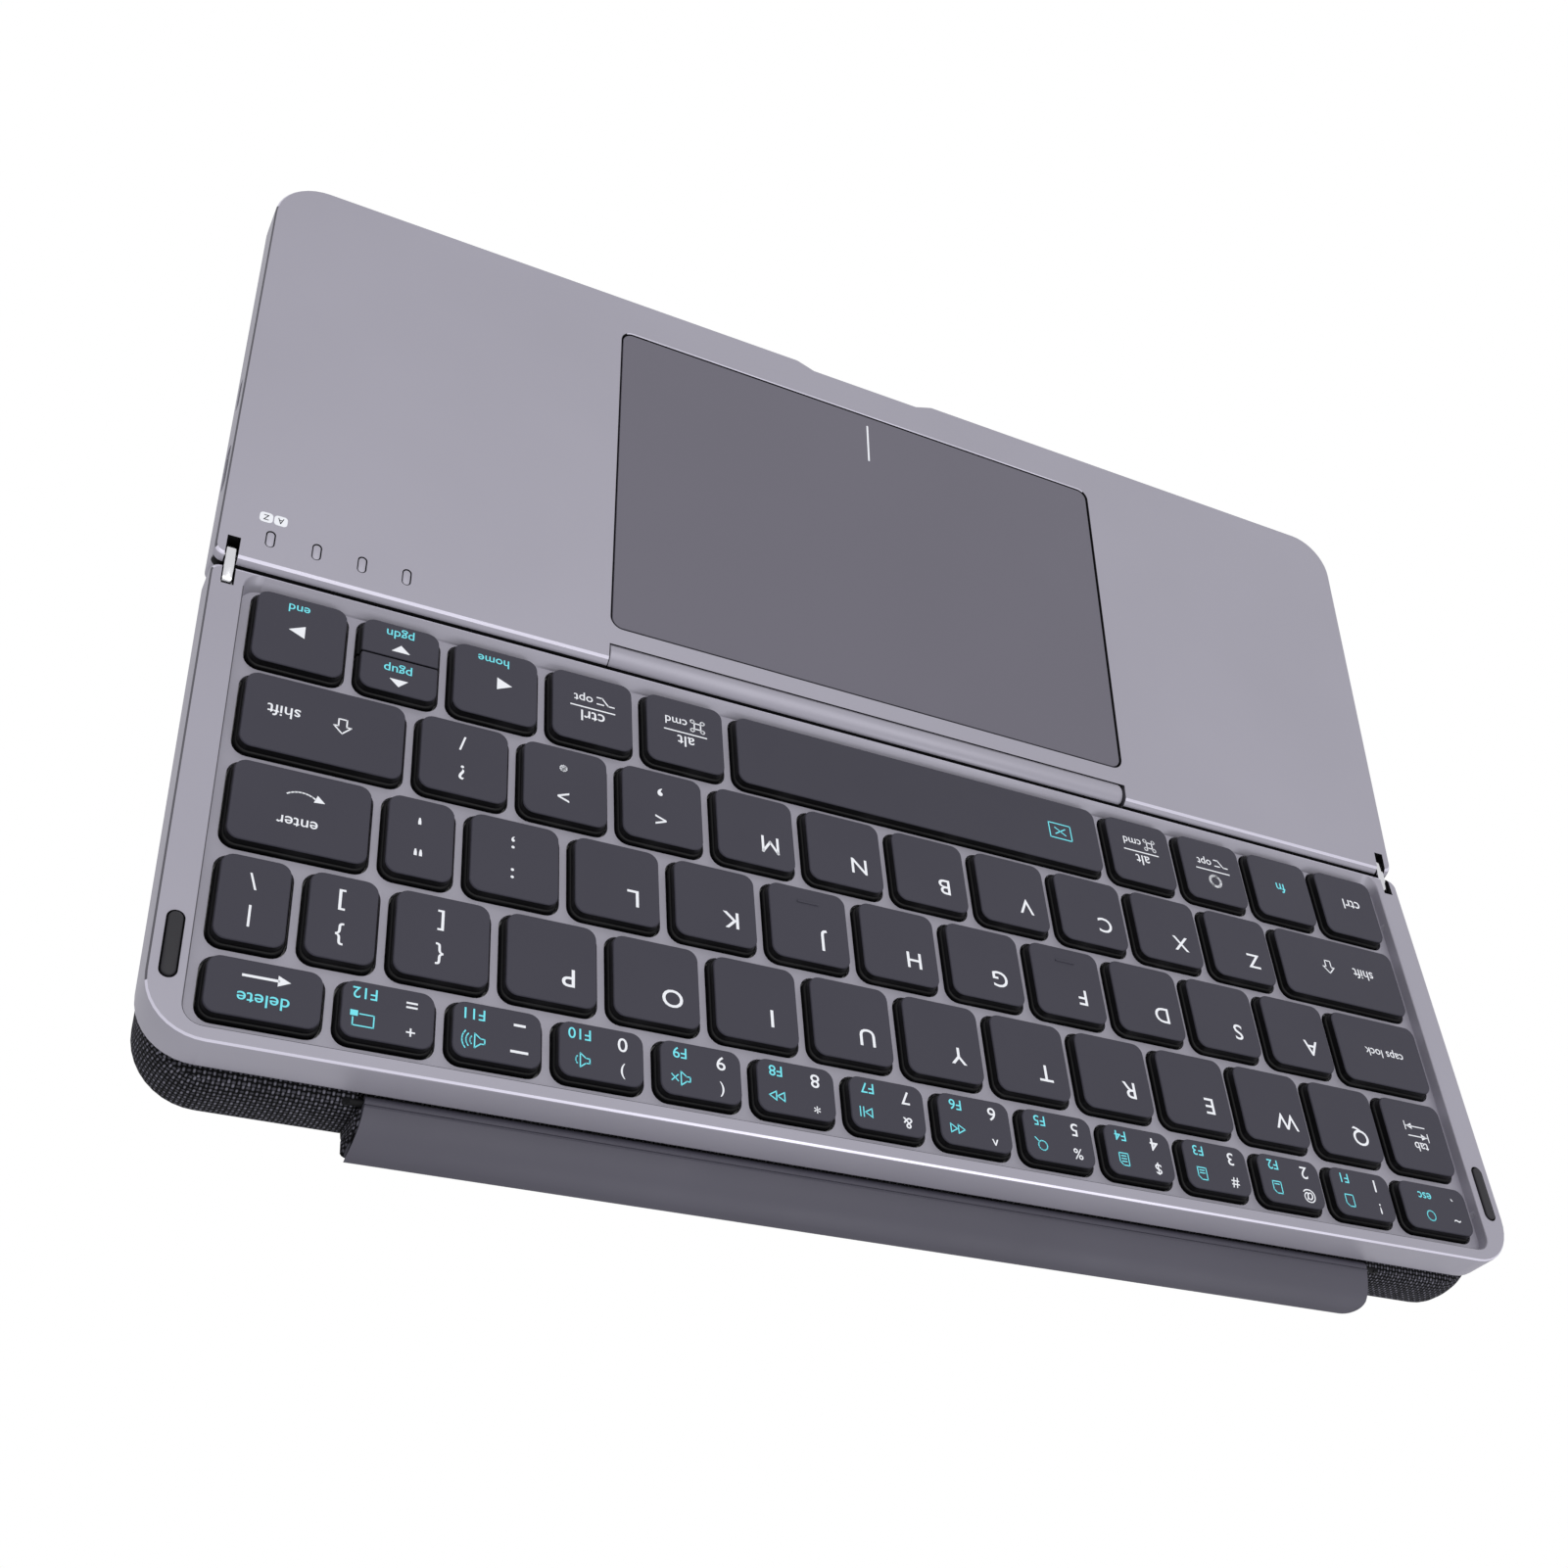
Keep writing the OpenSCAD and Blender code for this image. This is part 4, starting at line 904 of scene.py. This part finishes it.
def build_touch_case():
    """The touchpad half's case with its openings."""
    case = case_shell("touchpad_case_shell", TOUCH_FLOOR, TOUCH_D, on_touch)
    notch, pad, windows, scoop = (bmesh.new() for _ in range(4))
    reach = BARREL_L / 2 + BARREL_CLEAR
    # Walls of the barrel's notch take painted shade.
    rail(notch, circle_section(BARREL_R + 2 * BARREL_CLEAR, 40), -reach, reach, on_touch, material=SHADE)
    lead = box_cutter(-reach, reach, -DEEP, 0.01, -DEEP, DEEP, on_touch, SHADE)
    x, near, far = PAD_W / 2 + PAD_CLEAR, PAD_O - PAD_CLEAR, PAD_O + PAD_D + PAD_CLEAR
    rings = [ring(z, -x - g, x + g, near - g, far + g, PAD_R + PAD_CLEAR + g, 8)
             for z, g in ((-DEEP, 0), (PIVOT - PAD_CHAMFER, 0), (PIVOT, PAD_CHAMFER), (PIVOT + 1, PAD_CHAMFER))]
    # Walls of the touchpad opening take near-black painted shade, its chamfer at the far edge a painted
    # highlight.
    for f in loft(pad, rings, on_touch, material=GAP_SHADE):
        c = f.calc_center_median() / MM
        if PIVOT_Y - c.y > PAD_O + PAD_D and c.z > PIVOT_Z + PIVOT - 0.2:
            f.material_index = PAINTED_HIGHLIGHT
    # Walls of the windows' holes take near-black painted shade, which outlines each lens.
    window_slabs(windows, 0, 1.2, 4, material=GAP_SHADE)
    # one side of the finger notch's outline, from outside the free edge to its floor
    edge = [(NOTCH_W / 2 + x, y) for x, y in ((2, 3.0), (1, 0.2), (-1.5, -0.4), (-5, -NOTCH_D))]
    plan = [edge[0], *((-x, y) for x, y in edge), *edge[:0:-1]]
    loft(scoop, [[(x, TOUCH_D + y, z) for x, y in plan] for z in (-DEEP, DEEP)], on_touch)
    hollow = prism(-CASE_W / 2 + WALL, CASE_W / 2 - WALL, HINGE_R + WALL, TOUCH_D - NOTCH_D - WALL, -DEEP,
                   PIVOT - WALL, CORNER_R - WALL, on_touch)
    carve(case, hollow, pad, notch, lead, windows, scoop, link_cutters(on_touch),
          side_cutter(SOCKET_O, SOCKET_W + 0.2, SOCKET_H + 0.2, SOCKET_H / 2),
          side_cutter(SWITCH_O, SWITCH_W, SWITCH_H, 0.4))
    reshade(case, 30.0)
    ship(case, "touchpad_half", "case", "touchpad_case")


# The key well from its deck up: height, growth past its plan, and place of its sloped front lip.
WELL_LEVELS = (
    (DECK_TOP, 0.0, 0.3), (DECK_TOP + 0.3, 0.0, 0.1), (PIVOT - 0.7, 0.0, -1.0), (PIVOT - 0.25, 0.0, -1.35),
    (PIVOT - 0.1, 0.06, -1.45), (PIVOT, 0.2, -1.5), (PIVOT + 1, 0.2, -1.5),
)


def rim_pads(bm, side, end, z0, z1, **more):
    """Both rim pads, or their seats with gaps at their sides and ends."""
    half = RIM_PAD_W / 2 + side
    for x in (-RIM_PAD_X, RIM_PAD_X):
        slab(bm, x - half, x + half, RIM_PAD_Y - end, RIM_PAD_Y + RIM_PAD_L + end, PIVOT + z0, PIVOT + z1,
             half - 0.01, on_keys, seg=8, **more)


def build_keys_frame():
    """The keys half's case with its key well, and the two rim pads."""
    case = case_shell("keys_frame_shell", KEYS_FLOOR, KEYS_D, on_keys)
    well, holes, seats, pads = (bmesh.new() for _ in range(4))
    rings = [ring(z, -WELL_W / 2 - g, WELL_W / 2 + g, front, WELL_REAR + g, WELL_R + g, 8)
             for z, g, front in WELL_LEVELS]
    # Walls of the key well, but for its front and its -X end, take painted shade.
    for f in loft(well, rings, on_keys):
        c = f.calc_center_median()
        wall = c.y > on_keys(0, FIELD_Y + WELL_R, 0).y and f.calc_area() < DECK_AREA
        if wall and c.x > (WELL_R - WELL_W / 2) * MM:
            f.material_index = SHADE
    hollow = prism(-WELL_W / 2, WELL_W / 2, WELL_FRONT, WELL_REAR, KEYS_FLOOR - 1, DECK_TOP - DECK_T, WELL_R,
                   on_keys)
    g = CAP_FLARE + KEY_CLEAR
    for _, _, x0, x1, y0, y1 in key_places():
        slab(holes, x0 - g, x1 + g, y0 - g, y1 + g, KEYS_FLOOR, PIVOT, CAP_R + CAP_FLARE, on_keys)
    # Walls of the rim pads' seats take near-black painted shade, a dark outline round each pad.
    rim_pads(seats, SEAT_SIDE, SEAT_END, -SEAT_DEPTH, 1, material=GAP_SHADE)
    carve(case, well, hollow, holes, link_cutters(on_keys), seats)
    reshade(case, 30.0)
    ship(case, "keys_half", "case", "keys_frame")
    rim_pads(pads, 0, 0, -RIM_PAD_SINK, RIM_PAD_RISE, bevel=0.3, bottom=False)
    ship(new_object("rim_pad_pair", pads, [MATS["rubber"]]), "keys_half", "rubber_pad", "rim_pads")


def build_touchpad():
    """The touchpad's plate and its centre mark."""
    plate, mark = bmesh.new(), bmesh.new()
    top = PIVOT - PAD_DROP
    slab(plate, -PAD_W / 2, PAD_W / 2, PAD_O, PAD_O + PAD_D, top - PAD_T, top, PAD_R, on_touch,
         PAD_CHAMFER, 8)
    ship(new_object("touchpad_surface", plate, [MATS["pad"]], flat_above=60.0), "touchpad", "dark_case",
         "touchpad_plate")
    slab(mark, -MARK_W / 2, MARK_W / 2, MARK_NEAR, MARK_FAR, top, top + 0.025, 0.15, on_touch, seg=2)
    ship(new_object("touchpad_centre_mark", mark, [MATS["white"]]), "touchpad", "dark_case")


# Strokes of the badge's two made-up signs, about the middle of each half.
BADGE_SIGNS = (
    (((-0.4, -0.5), (0, 0.5)), ((0, 0.5), (0.4, -0.5)), ((-0.25, -0.15), (0.25, -0.15))),
    (((-0.35, 0.45), (0.35, 0.45)), ((0.35, 0.45), (-0.35, -0.45)), ((-0.35, -0.45), (0.35, -0.45))),
)


def build_fittings():
    """The indicator windows and the badge beside them."""
    lenses, badge, signs = (bmesh.new() for _ in range(3))
    top = PIVOT - LENS_DROP
    window_slabs(lenses, LENS_GAP, top - LENS_T, top, bevel=LENS_CHAMFER, steps=2, bottom=False)
    ship(new_object("indicator_lenses", lenses, [MATS["window"]]), "touchpad_half", "window",
         "indicator_windows")
    w, d, o = BADGE_W / 2, BADGE_D / 2, WINDOW_O + BADGE_O
    for side, bars in zip((-1, 1), BADGE_SIGNS):
        x = CASE_W / 2 - WINDOW_INSET + side * BADGE_STEP
        slab(badge, x - w, x + w, o - d, o + d, PIVOT - 0.01, PIVOT + 0.03, BADGE_R, on_touch, seg=5)
        for bar in bars:
            face_up(signs, [on_touch(x + a, o - b, PIVOT + 0.05) for a, b in stroke(*bar, 0.07)])
    ship(new_object("light_badge", badge, [MATS["white"]]), "touchpad_half", "case")
    ship(new_object("light_badge_signs", signs, [MATS["dark"]], fix=False), "touchpad_half", "case")


# A link's thickness from one face to the other: inset of its outline, place across.
LINK_LEVELS = ((0.12, -0.8), (0.03, -0.76), (0.0, -0.66), (0.0, 0.66), (0.03, 0.76), (0.12, 0.8))


def link_section(ins):
    """A link's (y, z) outline about the touchpad half's pivot, taller above the pivots than below."""
    out = []
    for y, start in ((LINK_L, -90), (0.0, 90)):
        for a in range(start, start + 181, 15):
            c, s = polar(0, 0, 1, a)
            out.append((y + (LINK_R - ins) * c, ((LINK_TOP if s > 0 else LINK_R) - ins) * s))
    return out


def build_hinge():
    """Both links and the cable barrel between them."""
    c, s = math.cos(math.radians(TILT / 2)), math.sin(math.radians(TILT / 2))
    for name, x in (("hinge_link_left", -LINK_X), ("hinge_link_right", LINK_X)):
        bm = bmesh.new()
        loft(bm, [[(x + dx, y, z) for y, z in link_section(ins)] for ins, dx in LINK_LEVELS],
             lambda x, y, z: on_touch(x, z * s - y * c, y * s + z * c))
        ship(new_object(name + "_plate", bm, [MATS["chrome"]], flat_above=8.0), "hinge_links",
             "bright_metal", name)
    bm = bmesh.new()
    end = BARREL_L / 2
    stations = [(end, BARREL_R - 0.25), (end - 0.08, BARREL_R - 0.08), (end - 0.25, BARREL_R)]
    stations += [(-end + BARREL_NOSE - BARREL_NOSE * math.sin(a), BARREL_R - BARREL_NOSE * (1 - math.cos(a)))
                 for a in quarter(8)]
    # Faces of the barrel towards the keys half near the pivot take near-black painted shade, for the hinge gap.
    for f in loft(bm, [[(x, y, z) for y, z in circle_section(r, 64)] for x, r in stations], on_touch):
        at = f.calc_center_median() / MM
        if at.y > PIVOT_Y and NOSE_LOW < at.z - PIVOT_Z < NOSE_SHADE_TOP:
            f.material_index = GAP_SHADE
    ship(new_object("cable_barrel_cover", bm, [MATS[m] for m in CASE_SLOTS]), "touchpad_half", "case",
         "cable_barrel")


def swell(t):
    """How far the cover's wall bulges at a share of its height, as a half circle."""
    return math.sqrt(max(0.0, 1 - (2 * t - 1) ** 2))


def build_cover():
    """The padded cover: a wedge from the keys half down to the table, soft at every edge, woven over UV."""
    rings = []
    for i in range(COVER_STEPS + 1):
        t = i / COVER_STEPS
        edge = COVER_EDGE * (1 - min(1.0, swell(t) * 1.5) ** 0.5)
        rear = KEYS_D + COVER_BULGE - COVER_DRAW * (1 - swell(t))
        plan = outline(-COVER_HALF + edge, COVER_HALF - edge, COVER_FRONT + edge, rear,
                       (COVER_FRONT_R, COVER_R), 10)
        rings.append([])
        for x, y in plan:
            low = table_z(y) + 0.02
            rings[-1].append((x, y, low + (COVER_TOP - low) * (0.5 - 0.5 * math.cos(math.pi * t))))
    bm = bmesh.new()
    loft(bm, rings, on_keys)
    cover = new_object("fabric_cover_skin", bm, [MATS["fabric"]])
    # pocket for the flap, its rod and its core
    carve(cover, box_cutter(FLAP_LOW - POCKET_LEFT, FLAP_HIGH + POCKET_RIGHT, KEYS_D - POCKET_FRONT,
                            KEYS_D + POCKET_REAR, -AWAY, AWAY, on_keys))
    lay_weave(cover, cover_spot)
    reshade(cover, None, 45.0)
    ship(cover, "keys_half", "fabric", "fabric_cover")


def wall_run(y, z):
    """Length down the cover's bulged wall to a height, in the keys half's own millimetres."""
    tall = COVER_TOP - table_z(y)
    share = min(max((COVER_TOP - z) / max(tall, 0.1), 0.0), 1.0)
    end = math.acos(1 - 2 * share) / math.pi
    steps = 12
    at = [(COVER_DRAW * swell(end * i / steps), tall * (0.5 - 0.5 * math.cos(math.pi * end * i / steps)))
          for i in range(steps + 1)]
    return sum(math.dist(a, b) for a, b in zip(at, at[1:]))


def lay_weave(obj, spot):
    """Gives each corner of a mesh its place in the weave, in metres, from its face's normal and its point."""
    me = obj.data
    uv = me.uv_layers.new(name="weave").data
    for p in me.polygons:
        for li in p.loop_indices:
            uv[li].uv = spot(p.normal, me.vertices[me.loops[li].vertex_index].co)


def cover_spot(normal, co):
    """Plan view on the cover's flat faces, lengths round the outline and down the wall elsewhere."""
    if abs(normal.z) > 0.8:
        return co.x, co.y
    r = COVER_R * MM
    side, back = COVER_HALF * MM - r, on_keys(0, KEYS_D + COVER_BULGE, -9).y - r
    dx, dy = abs(co.x) - side, co.y - back
    if dy > 0:
        run = side + r * math.atan2(dx, dy) if dx > 0 else abs(co.x)
    else:
        run = side + r * math.pi / 2 - dy
    away, rise = co.y / MM - PIVOT_Y - K_OFF[0], co.z / MM - PIVOT_Z - K_OFF[1]
    return math.copysign(run, co.x), wall_run(away * _c + rise * _s, rise * _c - away * _s) * MM


def core_spot(normal, co):
    """Side view on the ends of the flap's core, length along X elsewhere."""
    if abs(normal.x) > 0.5:
        return co.y + FLAP_HIGH * MM, co.z
    return co.x + co.y * (abs(normal.z) < 0.5), co.y + co.z


# Outer face of the flap from its crease to its nose, and the outline of its padded core, as (y, z).
FLAP_FACE = ((84.35, -5.2), (85.6, -5.5), (86.9, -5.95), (88.1, -6.55), (89.2, -7.4), (90.1, -8.5),
             (90.75, -9.6))
CORE_SIDE = ((83.0, -7.6), (84.4, -6.0), (86.2, -6.6), (87.8, -7.4), (89.1, -8.6), (90.1, -10.0),
             (89.6, -10.9), (88.2, -11.9), (86.5, -13.2), (84.9, -14.5), (83.8, -14.9), (83.1, -14.4))
CORE_MID = tuple(sum(v) / len(CORE_SIDE) for v in zip(*CORE_SIDE))
# Stations of the core along X with the size of its section, round at both ends.
CORE_STATIONS = (
    (FLAP_LOW + 4.0, 0.8), (FLAP_LOW + 4.2, 0.92), (FLAP_LOW + 4.8, 1.0), (FLAP_X, 1.0),
    (FLAP_HIGH - 0.2, 1.0), (FLAP_HIGH + 0.2, 0.985), (FLAP_HIGH + 0.55, 0.93), (FLAP_HIGH + 0.8, 0.84),
    (FLAP_HIGH + 0.85, 0.6), (FLAP_HIGH + 0.86, 0.3),
)


def face_to(share):
    """The outer face cut off at a share of its length, always with the same number of points."""
    runs = [0.0]
    for a, b in zip(FLAP_FACE, FLAP_FACE[1:]):
        runs.append(runs[-1] + math.dist(a, b))
    out = []
    for i in range(len(FLAP_FACE)):
        run = runs[-1] * share * i / (len(FLAP_FACE) - 1)
        k = max(j for j in range(len(runs) - 1) if runs[j] <= run + 1e-9)
        t = (run - runs[k]) / (runs[k + 1] - runs[k])
        out.append(tuple(a + (b - a) * t for a, b in zip(FLAP_FACE[k], FLAP_FACE[k + 1])))
    return out


def knuckle(*angles):
    """Points of the flap's knuckle round its rod."""
    return [polar(ROD_Y, ROD_Z, ROD_R + KNUCKLE, a) for a in angles]


def flap_section(share):
    """Outline of the flap's skin: knuckle, crease, outer face, round nose and the inner side back up."""
    face, inner = face_to(share), []
    for i, (y, z) in enumerate(face):
        a, b = face[max(i - 1, 0)], face[min(i + 1, len(face) - 1)]
        n = math.dist(a, b)
        inner.append((y + (b[1] - a[1]) / n * FLAP_SKIN, z - (b[0] - a[0]) / n * FLAP_SKIN))
    crease = (face[0][0] - 0.12, face[0][1] + 0.3)
    nose = ((face[-1][0] + inner[-1][0]) / 2 + 0.18, (face[-1][1] + inner[-1][1]) / 2 - 0.28)
    out = [*knuckle(170, 142, 114, 86, 62), crease, *face, nose, *inner[:0:-1], *knuckle(300, 270, 235, 205)]
    return out[::-1]


def flared(x, y):
    """X of a point of the flap's user's-right end, which widens towards the nose."""
    reach = max(0.0, (y - FLAP_FACE[0][0]) / (FLAP_FACE[-1][0] - FLAP_FACE[0][0]))
    return x + (FLAP_FLARE * reach ** 1.5 if x > FLAP_HIGH - 1 else 0.0)


def build_flap():
    """The stand flap's skin and its padded core."""
    skin, core = bmesh.new(), bmesh.new()
    stations = [(FLAP_LOW + FLAP_NOSE_R * (1 - math.cos(a)), 1 - FLAP_NOSE_CUT * (1 - math.sin(a)))
                for a in quarter(9)]
    stations += [(FLAP_LOW + FLAP_W * k, 1.0) for k in (0.25, 0.5, 0.75)]
    stations += [(FLAP_HIGH - 0.5, 1.0), (FLAP_HIGH, 1.0)]
    loft(skin, [[(flared(x, y), y, z) for y, z in flap_section(share)] for x, share in stations], on_keys)
    ship(new_object("stand_flap_skin", skin, [MATS["flap"]], angle=50.0), "flap", "dark_case", "stand_flap")
    # padded core of the leaf, wrapped in the cover's fabric, under the skin
    cy, cz = CORE_MID
    loft(core, [[(x + CORE_FLARE * max(0.0, y - CORE_FLARE_Y) * (x > FLAP_HIGH), cy + (y - cy) * k,
                  cz + (z - cz) * k) for y, z in CORE_SIDE[::-1]] for x, k in CORE_STATIONS], on_keys)
    obj = new_object("stand_flap_core", core, [MATS["fabric"]], angle=60.0)
    lay_weave(obj, core_spot)
    ship(obj, "flap", "fabric")


# ---- the add-on ----


class KeyboardColors(bpy.types.PropertyGroup):
    """Colours of the main surfaces."""

    case_color: FloatVectorProperty(
        name="Case", description="Colour of both metal halves", subtype="COLOR_GAMMA", size=3, min=0, max=1,
        default=(0.635, 0.625, 0.667))
    pad_color: FloatVectorProperty(
        name="Touchpad", description="Colour of the touchpad", subtype="COLOR_GAMMA", size=3, min=0, max=1,
        default=(0.40, 0.39, 0.43))
    key_color: FloatVectorProperty(
        name="Keys", description="Colour of the keycaps", subtype="COLOR_GAMMA", size=3, min=0, max=1,
        default=(0.225, 0.22, 0.26))
    flap_color: FloatVectorProperty(
        name="Flap", description="Colour of the stand flap", subtype="COLOR_GAMMA", size=3, min=0, max=1,
        default=(0.305, 0.298, 0.34))


class KeyboardStage(bpy.types.PropertyGroup):
    """Light around the keyboard."""

    fill: FloatProperty(
        name="Fill", description="Strength of the soft light from all round", default=0.75, min=0)
    key_power: FloatProperty(
        name="Key light", description="Power of the main light", default=3.2, min=0, subtype="POWER")


def props():
    """The scene's two groups of settings."""
    return bpy.context.scene.keyboard_colors, bpy.context.scene.keyboard_stage


# The photograph's camera: its place in metres, its lens in millimetres, and its right, up and back.
CAMERA_AT, LENS = (0.15012, 0.18581, 0.25604), 43.53
CAMERA_AXES = ((-0.89103, 0.01597, 0.45367), (0.22754, -0.84907, 0.47678), (0.39281, 0.52805, 0.75291))

# Area lights: place and size in metres, share of the key light's power, colour.
LIGHTS = (("top_light", (-0.05, -0.05, 1.0), 0.9, 1.0, (1, 1, 1)),
          ("edge_light", (-0.45, 0.8, 0.5), 0.3, 0.35, (0.97, 0.98, 1)))


def place_object(scene, name, data, matrix):
    """Puts a camera or a light into the scene."""
    obj = bpy.data.objects.new(name, data)
    obj.matrix_world = matrix
    scene.collection.objects.link(obj)
    return obj


def surround(fill):
    """A world that looks white and lights softly."""
    world = bpy.data.worlds.new("surround")
    world.use_nodes = True
    tree = world.node_tree
    tree.nodes.clear()
    out, mix, path, lit, seen = (tree.nodes.new("ShaderNode" + kind) for kind in (
        "OutputWorld", "MixShader", "LightPath", "Background", "Background"))
    lit.inputs[0].default_value = (0.97, 0.97, 1.0, 1)
    lit.inputs[1].default_value = fill
    seen.inputs[0].default_value = (1, 1, 1, 1)
    for a, b in ((path.outputs["Is Camera Ray"], mix.inputs[0]), (lit.outputs[0], mix.inputs[1]),
                 (seen.outputs[0], mix.inputs[2]), (mix.outputs[0], out.inputs[0])):
        tree.links.new(a, b)
    return world


class KB_OT_materials(bpy.types.Operator):
    """Make the materials and dress the CAD nodes that stay"""

    bl_idname = "keyboard.materials"
    bl_label = "Materials"

    def execute(self, context):
        make_materials(props()[0])
        for mat, nodes in SHOWN_NODES.items():
            for node in nodes:
                dress(node, mat)
        return {"FINISHED"}


class KB_OT_keys(bpy.types.Operator):
    """Build the keycaps and their legends"""

    bl_idname = "keyboard.keys"
    bl_label = "Keys"

    def execute(self, context):
        build_keys()
        return {"FINISHED"}


class KB_OT_cases(bpy.types.Operator):
    """Build both case halves and the rim pads"""

    bl_idname = "keyboard.cases"
    bl_label = "Case halves"

    def execute(self, context):
        build_touch_case()
        build_keys_frame()
        return {"FINISHED"}


class KB_OT_touchpad(bpy.types.Operator):
    """Build the touchpad, the indicator windows and the light badge"""

    bl_idname = "keyboard.touchpad"
    bl_label = "Touchpad and windows"

    def execute(self, context):
        build_touchpad()
        build_fittings()
        return {"FINISHED"}


class KB_OT_hinge(bpy.types.Operator):
    """Build the hinge links and the cable barrel"""

    bl_idname = "keyboard.hinge"
    bl_label = "Hinge"

    def execute(self, context):
        build_hinge()
        return {"FINISHED"}


class KB_OT_cover(bpy.types.Operator):
    """Build the fabric cover and the stand flap"""

    bl_idname = "keyboard.cover"
    bl_label = "Cover and flap"

    def execute(self, context):
        build_cover()
        build_flap()
        return {"FINISHED"}


class KB_OT_stage(bpy.types.Operator):
    """Set the camera, the lights and the white surroundings"""

    bl_idname = "keyboard.stage"
    bl_label = "Stage"

    def execute(self, context):
        scene, p = context.scene, props()[1]
        scene.view_settings.view_transform = "Standard"
        cam = bpy.data.cameras.new("camera")
        cam.lens, cam.sensor_width, cam.clip_start, cam.clip_end = LENS, 36.0, 0.01, 10.0
        turn = Matrix([Vector(v).normalized() for v in CAMERA_AXES]).transposed().to_4x4()
        scene.camera = place_object(scene, "camera", cam, Matrix.Translation(CAMERA_AT) @ turn)
        scene.world = surround(p.fill)
        for name, where, size, share, color in LIGHTS:
            light = bpy.data.lights.new(name, "AREA")
            light.size, light.energy, light.color = size, p.key_power * share, color
            aim = Vector(where).to_track_quat("Z", "Y").to_matrix().to_4x4()
            place_object(scene, name, light, Matrix.Translation(where) @ aim)
        return {"FINISHED"}


class KB_PT_panel(bpy.types.Panel):
    """Lists the operators and the settings"""

    bl_idname = "KB_PT_panel"
    bl_label = "Folding keyboard"
    bl_space_type = "VIEW_3D"
    bl_region_type = "UI"
    bl_category = "Keyboard"

    def draw(self, context):
        colors, stage = props()
        for name in ("case_color", "pad_color", "key_color", "flap_color"):
            self.layout.prop(colors, name)
        for name in ("fill", "key_power"):
            self.layout.prop(stage, name)
        for op in OPERATORS:
            self.layout.operator(op.bl_idname)


OPERATORS = (KB_OT_materials, KB_OT_keys, KB_OT_cases, KB_OT_touchpad, KB_OT_hinge, KB_OT_cover, KB_OT_stage)
CLASSES = (KeyboardColors, KeyboardStage, *OPERATORS, KB_PT_panel)


def register():
    for c in CLASSES:
        bpy.utils.register_class(c)
    bpy.types.Scene.keyboard_colors = PointerProperty(type=KeyboardColors)
    bpy.types.Scene.keyboard_stage = PointerProperty(type=KeyboardStage)


def unregister():
    del bpy.types.Scene.keyboard_colors, bpy.types.Scene.keyboard_stage
    for c in reversed(CLASSES):
        bpy.utils.unregister_class(c)


def main():
    register()
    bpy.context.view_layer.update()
    for op in OPERATORS:
        group, name = op.bl_idname.split(".")
        getattr(getattr(bpy.ops, group), name)()


if __name__ == "__main__":
    main()
